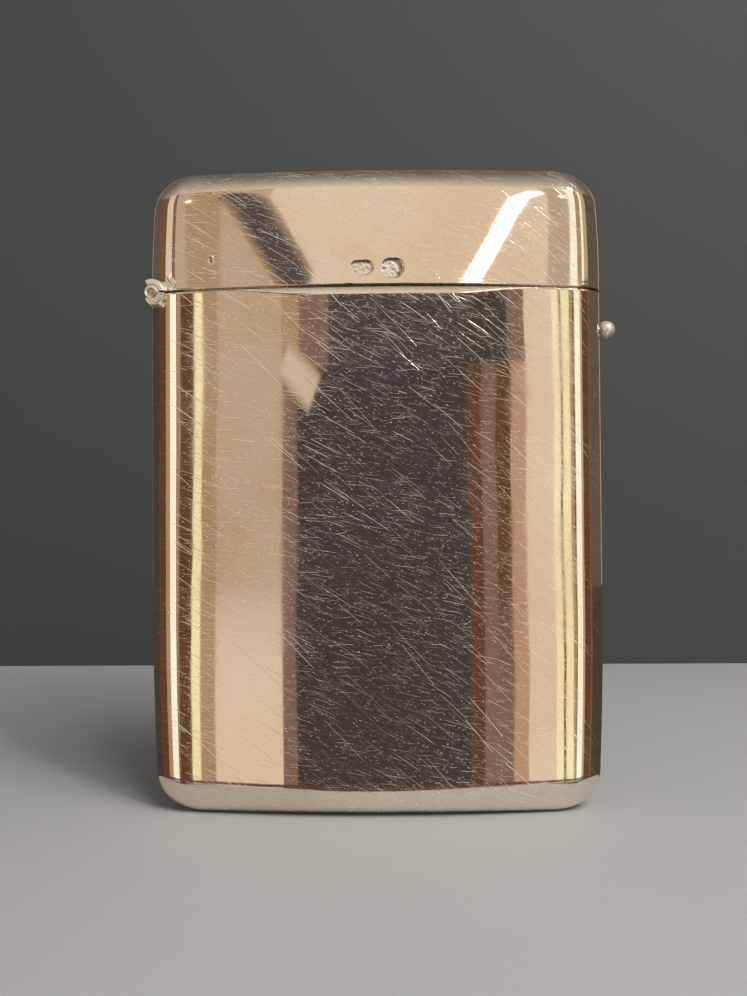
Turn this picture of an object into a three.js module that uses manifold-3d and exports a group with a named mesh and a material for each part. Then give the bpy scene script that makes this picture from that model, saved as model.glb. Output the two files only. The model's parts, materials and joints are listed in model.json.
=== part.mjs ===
// A slim metal case for visiting cards, standing upright with its lid shut.
// The lid turns on a knuckle hinge let into the left side, and a sprung catch
// inside the right side holds it until the ball on that side is pressed.
// Millimetres, +Z up, front towards -Y. The origin is the middle of the base.
import * as THREE from "three";
import { mergeVertices, toCreasedNormals } from "three/addons/utils/BufferGeometryUtils.js";
import Module from "manifold-3d";

const wasm = await Module();
wasm.setup();

// Case form
const CASE_WIDTH = 63.2;
const CASE_HEIGHT = 89;
const CASE_DEPTH = 11.4;
const SEAM_HEIGHT = 72.1;
const SEAM_GAP = 0.2;
const SHEET = 0.6;
const SHOULDER_RADIUS = 7;
const SHOULDER_TURN = 40;
const SIDE_RADIUS = 2.5;
const BASE_CORNER_RADIUS = 5.4;
const TOP_CORNER_RADIUS = 4.9;
const END_ROUND = 3.6;
const LIP_ROUND = 0.35;
const BODY_LEAN = 0.3;
const LID_LEAN = 0.35;
const BASE_TAPER = 0.8;
const BASE_TAPER_RUN = 30;
const TOP_TAPER = 0.8;
const TOP_TAPER_RUN = 15;

// Liner that stands in the mouth of the body and guides the lid
const COLLAR_SHEET = 0.5;
const COLLAR_RISE = 2.6;
const COLLAR_DROP = 3.6;
const COLLAR_FIT = 0.12;
const COLLAR_HINGE_CUT = 4.3;

// Hinge
const BARREL_RADIUS = 1;
const BARREL_LENGTH = 6.8;
const BARREL_INSET = 0.65;
const PIN_RADIUS = 0.42;
const PIN_CLEARANCE = 0.05;
const KNUCKLES = 5;
const KNUCKLE_GAP = 0.06;
const GROOVE_CLEARANCE = 0.1;
const BEARER_RADIUS = 1.85;
const LID_BEARER_EDGE = 60;
const BODY_BEARER_EDGE = 52;

// Catch: ball-headed button, flat spring with its nib, and the plate in the lid
const BUTTON_BELOW_SEAM = 5.2;
const BALL_RADIUS = 1.24;
const BALL_STAND_OUT = 0.95;
const BALL_CLEARANCE = 0.1;
const STEM_RADIUS = 0.62;
const SHANK_RADIUS = 0.4;
const SHANK_CLEARANCE = 0.1;
const BURR_RADIUS = 0.65;
const BURR_THICKNESS = 0.22;
const WASHER_RADIUS = 0.95;
const WASHER_THICKNESS = 0.22;
const BUSH_SHEET = 0.45;
const BUSH_LENGTH = 1.1;
const SPRING_THICKNESS = 0.35;
const SPRING_WIDTH = 3.2;
const SPRING_DEPTH = 1.2;
const SPRING_ARM = 24;
const SPRING_TAIL = 1.25;
const NIB_REACH = 0.8;
const NIB_HEIGHT = 0.8;
const NIB_WIDTH = 1.7;
const NIB_CLEARANCE = 0.15;
const PLATE_REACH = 0.95;
const PLATE_THICKNESS = 0.9;
const PLATE_WIDTH = 3.4;
const SEAT_HEIGHT = 3.2;
const SEAT_WIDTH = 3;
const RIVET_SPACING = 1.4;
const RIVET_RADIUS = 0.32;
const RIVET_HEAD_RADIUS = 0.62;
const RIVET_HEAD_HEIGHT = 0.3;
const RIVET_DEPTH = 0.55;
const FIT = 0.06;

// Facets
const CROWN_STEPS = 6;
const SHOULDER_STEPS = 4;
const SIDE_STEPS = 4;
const END_STEPS = 7;
const BODY_STEPS = 6;
const LID_STEPS = 3;
const LIP_STEPS = 3;
const ROUND_SIDES = 28;
const SMALL_SIDES = 16;
const CREASE_ANGLE = 30;
const OVERSHOOT = 1;

// Places worked out from the sizes above
const HALF_GAP = SEAM_GAP / 2;
const BODY_TOP = SEAM_HEIGHT - HALF_GAP;
const LID_BOTTOM = SEAM_HEIGHT + HALF_GAP;
const AXIS_X = -CASE_WIDTH / 2 + BARREL_INSET;
const GROOVE_RADIUS = BARREL_RADIUS + GROOVE_CLEARANCE;
const NOTCH_RADIUS = BEARER_RADIUS + FIT;
const RIGHT_SIDE = CASE_WIDTH / 2;
const RIGHT_INSIDE = RIGHT_SIDE - SHEET;
const BUTTON_HEIGHT = SEAM_HEIGHT - BUTTON_BELOW_SEAM;
const BALL_X = RIGHT_SIDE + BALL_STAND_OUT;
const HOLE_RADIUS = BALL_RADIUS + BALL_CLEARANCE;
const SPRING_OUTER_X = RIGHT_INSIDE - SPRING_DEPTH;
const SPRING_INNER_X = SPRING_OUTER_X - SPRING_THICKNESS;
const SPRING_ROOT = BUTTON_HEIGHT - SPRING_ARM;
const PLATE_TOP = LID_BOTTOM + PLATE_THICKNESS;
const NIB_BOTTOM = PLATE_TOP + NIB_CLEARANCE;
const NIB_TOP = NIB_BOTTOM + NIB_HEIGHT;
const WIDE = 2 * (CASE_WIDTH + CASE_HEIGHT);

const silver = { color: 0xd8bd98, roughness: 0.14, metalness: 1 };
const dullSilver = { color: 0xb59c7c, roughness: 0.38, metalness: 1 };
const springSteel = { color: 0x9d9a92, roughness: 0.35, metalness: 1 };

// Solids and meshes

// A closed three.js geometry as a solid that can be joined and cut.
function solidOf(geometry) {
  const bare = geometry.clone();
  bare.deleteAttribute("normal");
  bare.deleteAttribute("uv");
  const merged = mergeVertices(bare, 1e-5);
  const index = merged.index.array;
  const kept = [];
  for (let i = 0; i < index.length; i += 3) {
    const [a, b, c] = [index[i], index[i + 1], index[i + 2]];
    if (a !== b && b !== c && c !== a) kept.push(a, b, c);
  }
  const mesh = new wasm.Mesh({
    numProp: 3,
    vertProperties: new Float32Array(merged.attributes.position.array),
    triVerts: new Uint32Array(kept),
  });
  return new wasm.Manifold(mesh);
}

function namedMesh(name, solid, look) {
  const made = solid.getMesh();
  const geometry = new THREE.BufferGeometry();
  geometry.setAttribute("position", new THREE.BufferAttribute(made.vertProperties, 3));
  geometry.setIndex(new THREE.BufferAttribute(made.triVerts, 1));
  const mesh = new THREE.Mesh(
    toCreasedNormals(geometry, THREE.MathUtils.degToRad(CREASE_ANGLE)),
    new THREE.MeshStandardMaterial(look),
  );
  mesh.name = name;
  return mesh;
}

// A box between two corners.
function block(low, high) {
  const size = high.map((value, i) => value - low[i]);
  const geometry = new THREE.BoxGeometry(...size);
  geometry.translate(...high.map((value, i) => (value + low[i]) / 2));
  return solidOf(geometry);
}

// A round bar along Y between two stations.
function barAlongY(radius, x, z, yFrom, yTo, sides = ROUND_SIDES) {
  const geometry = new THREE.CylinderGeometry(radius, radius, yTo - yFrom, sides);
  geometry.translate(x, (yFrom + yTo) / 2, z);
  return solidOf(geometry);
}

// A turned piece along X: the profile lists [x, radius] from its inner end to its outer end.
function turnedAlongX(profile, y, z, sides = ROUND_SIDES) {
  const points = profile.map(([x, radius]) => new THREE.Vector2(radius, -x));
  const geometry = new THREE.LatheGeometry(points.reverse(), sides);
  geometry.rotateZ(Math.PI / 2);
  geometry.translate(0, y, z);
  return solidOf(geometry);
}

// A flat plate drawn in X and Z and as wide as given across Y.
function plateInXZ(outline, width) {
  const shape = new THREE.Shape(outline.map(([x, z]) => new THREE.Vector2(x, z)));
  const geometry = new THREE.ExtrudeGeometry(shape, { depth: width, bevelEnabled: false });
  geometry.rotateX(Math.PI / 2);
  geometry.translate(0, width / 2, 0);
  return solidOf(geometry);
}

// Case form

// How far a quarter round of this radius draws a wall in at a distance from its end.
function endInset(distance, radius) {
  const run = radius - THREE.MathUtils.clamp(distance, 0, radius);
  return radius - Math.sqrt(radius * radius - run * run);
}

// How far the sides draw in at a distance from an end, over the last stretch before it.
function taperInset(distance, taper, run) {
  return taper * Math.max(0, 1 - distance / run) ** 2;
}

// Level section of the case: crowned faces, shoulders and narrow sides in tangent arcs.
function sectionOutline(halfWidth, halfDepth, shoulderRadius, sideRadius) {
  const turn = THREE.MathUtils.degToRad(SHOULDER_TURN);
  const sideX = halfWidth - sideRadius;
  const shoulderX = sideX - (shoulderRadius - sideRadius) * Math.sin(turn);
  const shoulderY = -(shoulderRadius - sideRadius) * Math.cos(turn);
  const rise = halfDepth - shoulderRadius - shoulderY;
  const crownTurn = 2 * Math.atan2(rise, shoulderX);
  const crownRadius = shoulderX / Math.sin(crownTurn) + shoulderRadius;
  const crownY = halfDepth - crownRadius;
  const arcs = [
    { x: 0, y: crownY, radius: crownRadius, from: 0, to: crownTurn, steps: CROWN_STEPS },
    { x: shoulderX, y: shoulderY, radius: shoulderRadius, from: crownTurn, to: turn, steps: SHOULDER_STEPS },
    { x: sideX, y: 0, radius: sideRadius, from: turn, to: Math.PI / 2, steps: SIDE_STEPS },
  ];
  const quarter = arcs.flatMap(({ x, y, radius, from, to, steps }) =>
    Array.from({ length: steps }, (_, i) => {
      const angle = from + ((to - from) * i) / steps;
      return [x + radius * Math.sin(angle), y + radius * Math.cos(angle)];
    }),
  );
  const middle = quarter.slice(1);
  const frontRight = middle.map(([x, y]) => [x, -y]);
  const backRight = middle.toReversed();
  const backLeft = middle.map(([x, y]) => [-x, y]);
  const frontLeft = middle.map(([x, y]) => [-x, -y]).reverse();
  return [
    [0, -halfDepth],
    ...frontRight,
    [halfWidth, 0],
    ...backRight,
    [0, halfDepth],
    ...backLeft,
    [-halfWidth, 0],
    ...frontLeft,
  ];
}

// Section of the closed case at a height, drawn in by an inset that stands for the sheet.
function caseRing(height, inset) {
  const inLid = height > SEAM_HEIGHT;
  const fromEnd = inLid ? CASE_HEIGHT - height : height;
  const cornerRadius = (inLid ? TOP_CORNER_RADIUS : BASE_CORNER_RADIUS) - inset;
  const taper = inLid
    ? taperInset(fromEnd, TOP_TAPER, TOP_TAPER_RUN)
    : taperInset(fromEnd, BASE_TAPER, BASE_TAPER_RUN);
  const lidShare = (height - SEAM_HEIGHT) / (CASE_HEIGHT - SEAM_HEIGHT);
  const bodyShare = (SEAM_HEIGHT - height) / SEAM_HEIGHT;
  const lean = inLid ? LID_LEAN * lidShare : BODY_LEAN * bodyShare ** 2;
  const fullDepth = CASE_DEPTH / 2 - inset;
  const halfDepth = fullDepth - lean - endInset(fromEnd - inset, END_ROUND - inset);
  const halfWidth = CASE_WIDTH / 2 - inset - taper - endInset(fromEnd - inset, cornerRadius);
  const share = halfDepth / fullDepth;
  const shoulderRadius = (SHOULDER_RADIUS - inset) * share;
  return sectionOutline(halfWidth, halfDepth, shoulderRadius, (SIDE_RADIUS - inset) * share);
}

// Solid lofted through level rings of [outline, height] from low to high.
function loft(rings) {
  const count = rings[0].outline.length;
  const positions = rings.flatMap(({ outline, height }) =>
    outline.flatMap(([x, y]) => [x, y, height]),
  );
  const index = [];
  for (let r = 0; r + 1 < rings.length; r += 1) {
    for (let i = 0; i < count; i += 1) {
      const a = r * count + i;
      const b = r * count + ((i + 1) % count);
      index.push(a, b, b + count, a, b + count, a + count);
    }
  }
  const bottomCentre = positions.length / 3;
  const topCentre = bottomCentre + 1;
  positions.push(0, 0, rings[0].height, 0, 0, rings.at(-1).height);
  const topStart = (rings.length - 1) * count;
  for (let i = 0; i < count; i += 1) {
    const next = (i + 1) % count;
    index.push(bottomCentre, next, i);
    index.push(topCentre, topStart + i, topStart + next);
  }
  const geometry = new THREE.BufferGeometry();
  geometry.setAttribute("position", new THREE.Float32BufferAttribute(positions, 3));
  geometry.setIndex(index);
  return solidOf(geometry);
}

// Distances from a rounded end at which its sections are taken.
function endDistances(cornerRadius, inset) {
  const radius = Math.max(cornerRadius, END_ROUND) - inset;
  return Array.from({ length: END_STEPS + 1 }, (_, i) => {
    const angle = (Math.PI / 2) * (i / END_STEPS);
    return inset + radius * (1 - Math.cos(angle));
  });
}

// Heights of the sections of the body, and of the lid, for a wall drawn in by an inset.
function bodyHeights(top, inset) {
  const heights = endDistances(BASE_CORNER_RADIUS, inset);
  const start = heights.at(-1);
  for (let i = 1; i <= BODY_STEPS; i += 1) {
    heights.push(start + ((top - start) * i) / BODY_STEPS);
  }
  return heights;
}

function lidHeights(bottom, inset) {
  const heights = endDistances(TOP_CORNER_RADIUS, inset).map((distance) => CASE_HEIGHT - distance);
  const start = heights.at(-1);
  for (let i = 1; i <= LID_STEPS; i += 1) {
    heights.push(start + ((bottom - start) * i) / LID_STEPS);
  }
  return heights.reverse();
}

function ringsAt(heights, inset) {
  return heights.map((height) => ({ outline: caseRing(height, inset), height }));
}

// Quarter-round lip at the seam, from the wall in to the lip's edge.
function lipRings(edge, towards) {
  return Array.from({ length: LIP_STEPS }, (_, i) => {
    const angle = (Math.PI / 2) * ((i + 1) / LIP_STEPS);
    const inset = LIP_ROUND * (1 - Math.cos(angle));
    const height = edge + towards * LIP_ROUND * (1 - Math.sin(angle));
    return { outline: caseRing(SEAM_HEIGHT, inset), height };
  });
}

// Outside of the body from its base to its rounded lip.
function bodyOutside() {
  const rings = ringsAt(bodyHeights(BODY_TOP - LIP_ROUND, 0), 0);
  return loft([...rings, ...lipRings(BODY_TOP, -1)]);
}

// Outside of the lid from its rounded lip to its top.
function lidOutside() {
  const rings = ringsAt(lidHeights(LID_BOTTOM + LIP_ROUND, 0), 0);
  return loft([...lipRings(LID_BOTTOM, 1).reverse(), ...rings]);
}

// Room inside the body, open past the seam, with an extra gap to the sheet where asked.
function bodyInside(gap = 0) {
  const inset = SHEET + gap;
  const past = { outline: caseRing(SEAM_HEIGHT, inset), height: SEAM_HEIGHT + COLLAR_RISE };
  return loft([...ringsAt(bodyHeights(SEAM_HEIGHT, inset), inset), past]);
}

// Room inside the lid, open past the seam.
function lidInside(gap = 0) {
  const inset = SHEET + gap;
  const past = { outline: caseRing(SEAM_HEIGHT, inset), height: SEAM_HEIGHT - COLLAR_RISE };
  return loft([past, ...ringsAt(lidHeights(SEAM_HEIGHT, inset), inset)]);
}

// Everything on one side of the plane where the two stampings meet.
function frontOrBack(isFront) {
  const low = [-WIDE, isFront ? -WIDE : 0, -WIDE];
  const high = [WIDE, isFront ? 0 : WIDE, WIDE];
  return block(low, high);
}

// Round bar along the hinge axis, as long as the barrel unless told otherwise.
function hingeBar(radius, length = BARREL_LENGTH, sides = ROUND_SIDES) {
  return barAlongY(radius, AXIS_X, SEAM_HEIGHT, -length / 2, length / 2, sides);
}

// Stamped halves of the body, cut out for the hinge bearer and for the ball.
function bodyHalves() {
  const hole = turnedAlongX(barProfile(BALL_X - CASE_DEPTH / 2, BALL_X, HOLE_RADIUS), 0, BUTTON_HEIGHT);
  const notch = hingeBar(NOTCH_RADIUS, CASE_DEPTH);
  const shell = bodyOutside().subtract(bodyInside()).subtract(notch).subtract(hole);
  return [true, false].map((isFront) =>
    namedMesh(isFront ? "body_front" : "body_back", shell.intersect(frontOrBack(isFront)), silver),
  );
}

// Stamped halves of the lid, cut out for the hinge bearer.
function lidHalves() {
  const shell = lidOutside().subtract(lidInside()).subtract(hingeBar(NOTCH_RADIUS, CASE_DEPTH));
  return [true, false].map((isFront) =>
    namedMesh(isFront ? "lid_front" : "lid_back", shell.intersect(frontOrBack(isFront)), silver),
  );
}

// Liner bent round inside the mouth from one edge of the catch to the other, lower behind the hinge.
function mouthCollar() {
  const low = SEAM_HEIGHT - COLLAR_DROP;
  const high = SEAM_HEIGHT + COLLAR_RISE;
  const ringAt = (inset) => {
    const outline = caseRing(SEAM_HEIGHT, inset);
    return (from, to) => loft([{ outline, height: from }, { outline, height: to }]);
  };
  const outer = ringAt(SHEET + COLLAR_FIT)(low, high);
  const inner = ringAt(SHEET + COLLAR_FIT + COLLAR_SHEET)(low - OVERSHOOT, high + OVERSHOOT);
  const hingeFoot = SEAM_HEIGHT - BEARER_RADIUS - COLLAR_FIT;
  const hingeHalf = BARREL_LENGTH / 2 + COLLAR_FIT;
  const hingeCut = block([-WIDE, -hingeHalf, hingeFoot], [AXIS_X + COLLAR_HINGE_CUT, hingeHalf, WIDE]);
  const slotHalf = Math.max(SPRING_WIDTH / 2, PLATE_WIDTH / 2, HOLE_RADIUS + BUSH_SHEET) + COLLAR_FIT;
  const catchSlot = block([0, -slotHalf, -WIDE], [WIDE, slotHalf, WIDE]);
  const collar = outer.subtract(inner).subtract(hingeCut).subtract(catchSlot);
  return namedMesh("mouth_collar", collar, silver);
}

// Hinge

// Five knuckles in a row, taken in turn by the body and the lid.
function knuckles() {
  const pitch = BARREL_LENGTH / KNUCKLES;
  const first = -BARREL_LENGTH / 2;
  const bore = hingeBar(PIN_RADIUS + PIN_CLEARANCE, CASE_DEPTH, SMALL_SIDES);
  return Array.from({ length: KNUCKLES }, (_, i) => {
    const from = i === 0 ? first : first + i * pitch + KNUCKLE_GAP / 2;
    const to = i === KNUCKLES - 1 ? -first : first + (i + 1) * pitch - KNUCKLE_GAP / 2;
    const tube = barAlongY(BARREL_RADIUS, AXIS_X, SEAM_HEIGHT, from, to).subtract(bore);
    const owner = i % 2 === 0 ? "body" : "lid";
    return namedMesh(`${owner}_knuckle_${Math.floor(i / 2) + 1}`, tube, silver);
  });
}

function hingePin() {
  return namedMesh("hinge_pin", hingeBar(PIN_RADIUS, BARREL_LENGTH, SMALL_SIDES), dullSilver);
}

// Bearer: part of a tube let into the side wall, in which the knuckles lie. It runs from the
// seam round the inside, up in the lid and down in the body, and its outer edge stands at an
// angle from level on the outside. The lid is wide open when the two outer edges meet.
function bearer(name, edge, up) {
  const last = Math.PI - THREE.MathUtils.degToRad(edge);
  const reach = 2 * BEARER_RADIUS;
  const fan = [0, last / 2, last].map((angle) => [
    AXIS_X + reach * Math.cos(angle),
    SEAM_HEIGHT + up * reach * Math.sin(angle),
  ]);
  const sector = plateInXZ([[AXIS_X, SEAM_HEIGHT], ...fan], CASE_DEPTH);
  const seam = up > 0 ? [LID_BOTTOM, WIDE] : [-WIDE, BODY_TOP];
  const tube = hingeBar(BEARER_RADIUS)
    .subtract(hingeBar(GROOVE_RADIUS, CASE_DEPTH))
    .intersect(sector)
    .intersect(block([-WIDE, -WIDE, seam[0]], [WIDE, WIDE, seam[1]]));
  return namedMesh(name, tube, silver);
}

// Catch

// Ball, stem and shank turned in one, the shank burred over behind the washer.
function pushButton() {
  const ball = [];
  const steps = ROUND_SIDES / 2;
  const join = Math.asin(STEM_RADIUS / BALL_RADIUS);
  for (let i = 0; i <= steps; i += 1) {
    const angle = join + ((Math.PI - join) * i) / steps;
    const radius = i === steps ? 0 : BALL_RADIUS * Math.sin(angle);
    ball.push([BALL_X - BALL_RADIUS * Math.cos(angle), radius]);
  }
  const shoulder = SPRING_OUTER_X + FIT;
  const burrOuter = SPRING_INNER_X - 2 * FIT - WASHER_THICKNESS;
  const burrInner = burrOuter - BURR_THICKNESS;
  const profile = [
    [burrInner, 0],
    [burrInner, BURR_RADIUS - BURR_THICKNESS / 2],
    [burrInner + BURR_THICKNESS / 2, BURR_RADIUS],
    [burrOuter, BURR_RADIUS],
    [burrOuter, SHANK_RADIUS],
    [shoulder, SHANK_RADIUS],
    [shoulder, STEM_RADIUS],
    ...ball,
  ];
  return namedMesh("push_button", turnedAlongX(profile, 0, BUTTON_HEIGHT), silver);
}

// Closed profile of a ring between two stations and two radii.
function ringProfile(inner, outer, bore, radius) {
  return [[inner, bore], [inner, radius], [outer, radius], [outer, bore], [inner, bore]];
}

// Solid profile of a bar between two stations.
function barProfile(inner, outer, radius) {
  return [[inner, 0], [inner, radius], [outer, radius], [outer, 0]];
}

function buttonWasher() {
  const outer = SPRING_INNER_X - FIT;
  const inner = outer - WASHER_THICKNESS;
  const bore = SHANK_RADIUS + FIT;
  const washer = turnedAlongX(ringProfile(inner, outer, bore, WASHER_RADIUS), 0, BUTTON_HEIGHT);
  return namedMesh("button_washer", washer, dullSilver);
}

// Short tube inside the wall that guides the ball, shaped to the round side.
function buttonBush() {
  const outer = RIGHT_SIDE;
  const inner = RIGHT_INSIDE - BUSH_LENGTH;
  const wall = HOLE_RADIUS + BUSH_SHEET;
  const ring = turnedAlongX(ringProfile(inner, outer, HOLE_RADIUS, wall), 0, BUTTON_HEIGHT);
  return namedMesh("button_bush", ring.intersect(bodyInside(FIT)), dullSilver);
}

function rivetPlaces() {
  return [-RIVET_SPACING / 2, RIVET_SPACING / 2];
}

// Flat spring: a straight strip whose top is bent into a nib with a sloping back.
function catchSpring() {
  const strip = block(
    [SPRING_INNER_X, -SPRING_WIDTH / 2, SPRING_ROOT - SPRING_TAIL],
    [SPRING_OUTER_X, SPRING_WIDTH / 2, NIB_TOP],
  );
  const tip = SPRING_OUTER_X + NIB_REACH;
  const nib = plateInXZ(
    [
      [SPRING_INNER_X, NIB_BOTTOM],
      [tip, NIB_BOTTOM],
      [tip, NIB_BOTTOM + NIB_HEIGHT / 3],
      [SPRING_OUTER_X, NIB_TOP],
      [SPRING_INNER_X, NIB_TOP],
    ],
    NIB_WIDTH,
  );
  let spring = strip.add(nib);
  const drill = (radius, y, z) => {
    const profile = barProfile(SPRING_INNER_X - OVERSHOOT, SPRING_OUTER_X + OVERSHOOT, radius);
    return turnedAlongX(profile, y, z, SMALL_SIDES);
  };
  spring = spring.subtract(drill(SHANK_RADIUS + SHANK_CLEARANCE, 0, BUTTON_HEIGHT));
  for (const y of rivetPlaces()) {
    spring = spring.subtract(drill(RIVET_RADIUS + FIT, y, SPRING_ROOT));
  }
  return namedMesh("catch_spring", spring, springSteel);
}

// Block inside the wall that carries the foot of the spring.
function springSeat() {
  const face = SPRING_OUTER_X + FIT;
  let seat = block(
    [face, -SEAT_WIDTH / 2, SPRING_ROOT - SEAT_HEIGHT / 2],
    [RIGHT_SIDE, SEAT_WIDTH / 2, SPRING_ROOT + SEAT_HEIGHT / 2],
  ).intersect(bodyInside(FIT));
  const bore = RIVET_RADIUS + FIT;
  const depth = face + RIVET_DEPTH + FIT;
  for (const y of rivetPlaces()) {
    const profile = barProfile(face - OVERSHOOT, depth, bore);
    seat = seat.subtract(turnedAlongX(profile, y, SPRING_ROOT, SMALL_SIDES));
  }
  return namedMesh("spring_seat", seat, dullSilver);
}

function springRivets() {
  const headFace = SPRING_INNER_X - FIT;
  const headTop = headFace - RIVET_HEAD_HEIGHT;
  const tip = SPRING_OUTER_X + FIT + RIVET_DEPTH;
  const profile = [
    [headTop, 0],
    [headTop, RIVET_HEAD_RADIUS - RIVET_HEAD_HEIGHT / 2],
    [headTop + RIVET_HEAD_HEIGHT / 2, RIVET_HEAD_RADIUS],
    [headFace, RIVET_HEAD_RADIUS],
    [headFace, RIVET_RADIUS],
    [tip, RIVET_RADIUS],
    [tip, 0],
  ];
  return rivetPlaces().map((y, i) =>
    namedMesh(`spring_rivet_${i + 1}`, turnedAlongX(profile, y, SPRING_ROOT, SMALL_SIDES), dullSilver),
  );
}

// Plate soldered inside the lid just above its lip, under which the nib cannot rise.
function catchPlate() {
  const plate = block(
    [RIGHT_INSIDE - PLATE_REACH, -PLATE_WIDTH / 2, LID_BOTTOM],
    [RIGHT_SIDE, PLATE_WIDTH / 2, PLATE_TOP],
  ).intersect(lidInside(FIT));
  return namedMesh("catch_plate", plate, dullSilver);
}

// Assembly
const body = new THREE.Group();
const lid = new THREE.Group();
const catchParts = new THREE.Group();
const [knuckle1, knuckle2, knuckle3, knuckle4, knuckle5] = knuckles();
body.add(...bodyHalves(), mouthCollar(), knuckle1, knuckle3, knuckle5, hingePin());
body.add(bearer("body_bearer", BODY_BEARER_EDGE, -1));
body.add(buttonBush(), springSeat(), ...springRivets());
lid.add(...lidHalves(), knuckle2, knuckle4, bearer("lid_bearer", LID_BEARER_EDGE, 1), catchPlate());
catchParts.add(pushButton(), buttonWasher(), catchSpring());

const cardCase = new THREE.Group();
cardCase.add(body, lid, catchParts);
export default cardCase;
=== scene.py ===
"""A slim polished card case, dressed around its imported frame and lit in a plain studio."""

import json
import logging
import math
from collections.abc import Callable
from dataclasses import dataclass
from enum import Enum

import bmesh
import bpy
from mathutils import Matrix, Vector, noise


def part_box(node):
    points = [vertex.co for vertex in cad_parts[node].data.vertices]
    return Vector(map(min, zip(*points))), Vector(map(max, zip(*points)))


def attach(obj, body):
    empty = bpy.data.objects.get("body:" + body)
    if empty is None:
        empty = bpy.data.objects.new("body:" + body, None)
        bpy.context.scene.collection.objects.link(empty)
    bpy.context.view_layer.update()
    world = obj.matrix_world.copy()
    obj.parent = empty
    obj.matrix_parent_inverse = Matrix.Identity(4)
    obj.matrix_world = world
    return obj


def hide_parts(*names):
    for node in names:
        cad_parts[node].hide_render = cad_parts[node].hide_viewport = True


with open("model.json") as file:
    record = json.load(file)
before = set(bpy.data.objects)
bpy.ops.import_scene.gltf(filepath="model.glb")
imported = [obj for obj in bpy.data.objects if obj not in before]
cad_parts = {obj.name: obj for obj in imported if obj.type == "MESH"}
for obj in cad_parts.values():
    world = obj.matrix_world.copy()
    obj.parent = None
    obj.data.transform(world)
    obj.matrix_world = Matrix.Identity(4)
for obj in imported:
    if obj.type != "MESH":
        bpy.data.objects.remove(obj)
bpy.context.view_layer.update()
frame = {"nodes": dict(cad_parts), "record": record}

MM = 0.001
# Distances below which places count as level with each other, and as the same.
NEAR = 0.001 * MM
TINY = 0.00001 * MM
LOG = logging.getLogger("card_case")
FRONTWARD = Vector((0, -1, 0))
RIGHTWARD = Vector((1, 0, 0))


class Half(Enum):
    """One of the two stampings that are soldered together, with its turning sense."""

    FRONT = 1
    BACK = -1


class Body(Enum):
    """Bodies of the frame that pieces ride on."""

    CASE = "body"
    LID = "lid"
    BUTTON = "button"


def smoothstep(low: float, high: float, value: float) -> float:
    """Eases from 0 to 1 between two values.

    Args:
        low: Value at which the result leaves 0.
        high: Value at which the result reaches 1.
        value: The value to ease.

    Returns:
        A share from 0 to 1.
    """
    share = min(max((value - low) / (high - low), 0.0), 1.0)
    return share * share * (3 - 2 * share)


def placed(
    name: str, bm: bmesh.types.BMesh, material: bpy.types.Material | None = None
) -> bpy.types.Object:
    """Turns a bmesh into an object of the scene.

    Args:
        name: Name of the object.
        bm: The mesh, which is freed.
        material: Its material, if it has one.

    Returns:
        The object.
    """
    mesh = bpy.data.meshes.new(name)
    bm.to_mesh(mesh)
    bm.free()
    if material:
        mesh.materials.append(material)
    thing = bpy.data.objects.new(name, mesh)
    bpy.context.scene.collection.objects.link(thing)
    return thing


def add_in(bm: bmesh.types.BMesh, other: bmesh.types.BMesh) -> None:
    """Adds another mesh, which is freed, to a mesh."""
    carrier = bpy.data.meshes.new("carrier")
    other.to_mesh(carrier)
    other.free()
    bm.from_mesh(carrier)
    bpy.data.meshes.remove(carrier)


def weigh(bm: bmesh.types.BMesh, name: str, rule: Callable[[bmesh.types.BMVert], float]) -> None:
    """Stores a share at every vertex, for the finishes to read.

    Args:
        bm: The mesh.
        name: Name of the attribute.
        rule: Gives the share at a vertex.
    """
    layer = bm.verts.layers.float.new(name)
    for vert in bm.verts:
        vert[layer] = rule(vert)


def finished_piece(
    name: str,
    bm: bmesh.types.BMesh,
    material: bpy.types.Material,
    body: Body,
    replaces: tuple[str, ...] = (),
    crease_deg: float = 35,
) -> bpy.types.Object:
    """Turns a bmesh into a named piece that rides on a body.

    Args:
        name: Name of the piece.
        bm: The mesh, which is freed.
        material: Finish of the piece.
        body: Body that carries it.
        replaces: Nodes of the frame that it stands for.
        crease_deg: Angle above which an edge is shaded sharp.

    Returns:
        The new object.
    """
    piece = placed(name, bm, material)
    shade(piece.data, crease_deg)
    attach(piece, body.value)
    if replaces:
        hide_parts(*replaces)
    LOG.info("%s: %d faces on %s", name, len(piece.data.polygons), body.value)
    return piece


def shade(mesh: bpy.types.Mesh, crease_deg: float) -> None:
    """Shades a mesh smooth, apart from its sharp edges.

    Args:
        mesh: The mesh.
        crease_deg: Angle above which an edge is sharp.
    """
    mesh.polygons.foreach_set("use_smooth", [True] * len(mesh.polygons))
    mesh.set_sharp_from_angle(angle=math.radians(crease_deg))
    mesh.update()


def cut_away(bm: bmesh.types.BMesh, tools: list[bmesh.types.BMesh]) -> bmesh.types.BMesh:
    """Cuts closed tool meshes out of a closed mesh.

    Args:
        bm: The mesh to cut, which is freed.
        tools: Closed meshes to take away, which are freed.

    Returns:
        The cut mesh.
    """
    stock = placed("stock", bm)
    cutters = [placed("cutter", tool) for tool in tools]
    for cutter in cutters:
        modifier = stock.modifiers.new("cut", "BOOLEAN")
        modifier.operation = "DIFFERENCE"
        modifier.solver = "MANIFOLD"
        modifier.object = cutter
    graph = bpy.context.evaluated_depsgraph_get()
    made = bmesh.new()
    made.from_object(stock, graph)
    for thing in [stock, *cutters]:
        mesh = thing.data
        bpy.data.objects.remove(thing)
        bpy.data.meshes.remove(mesh)
    return made


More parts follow.
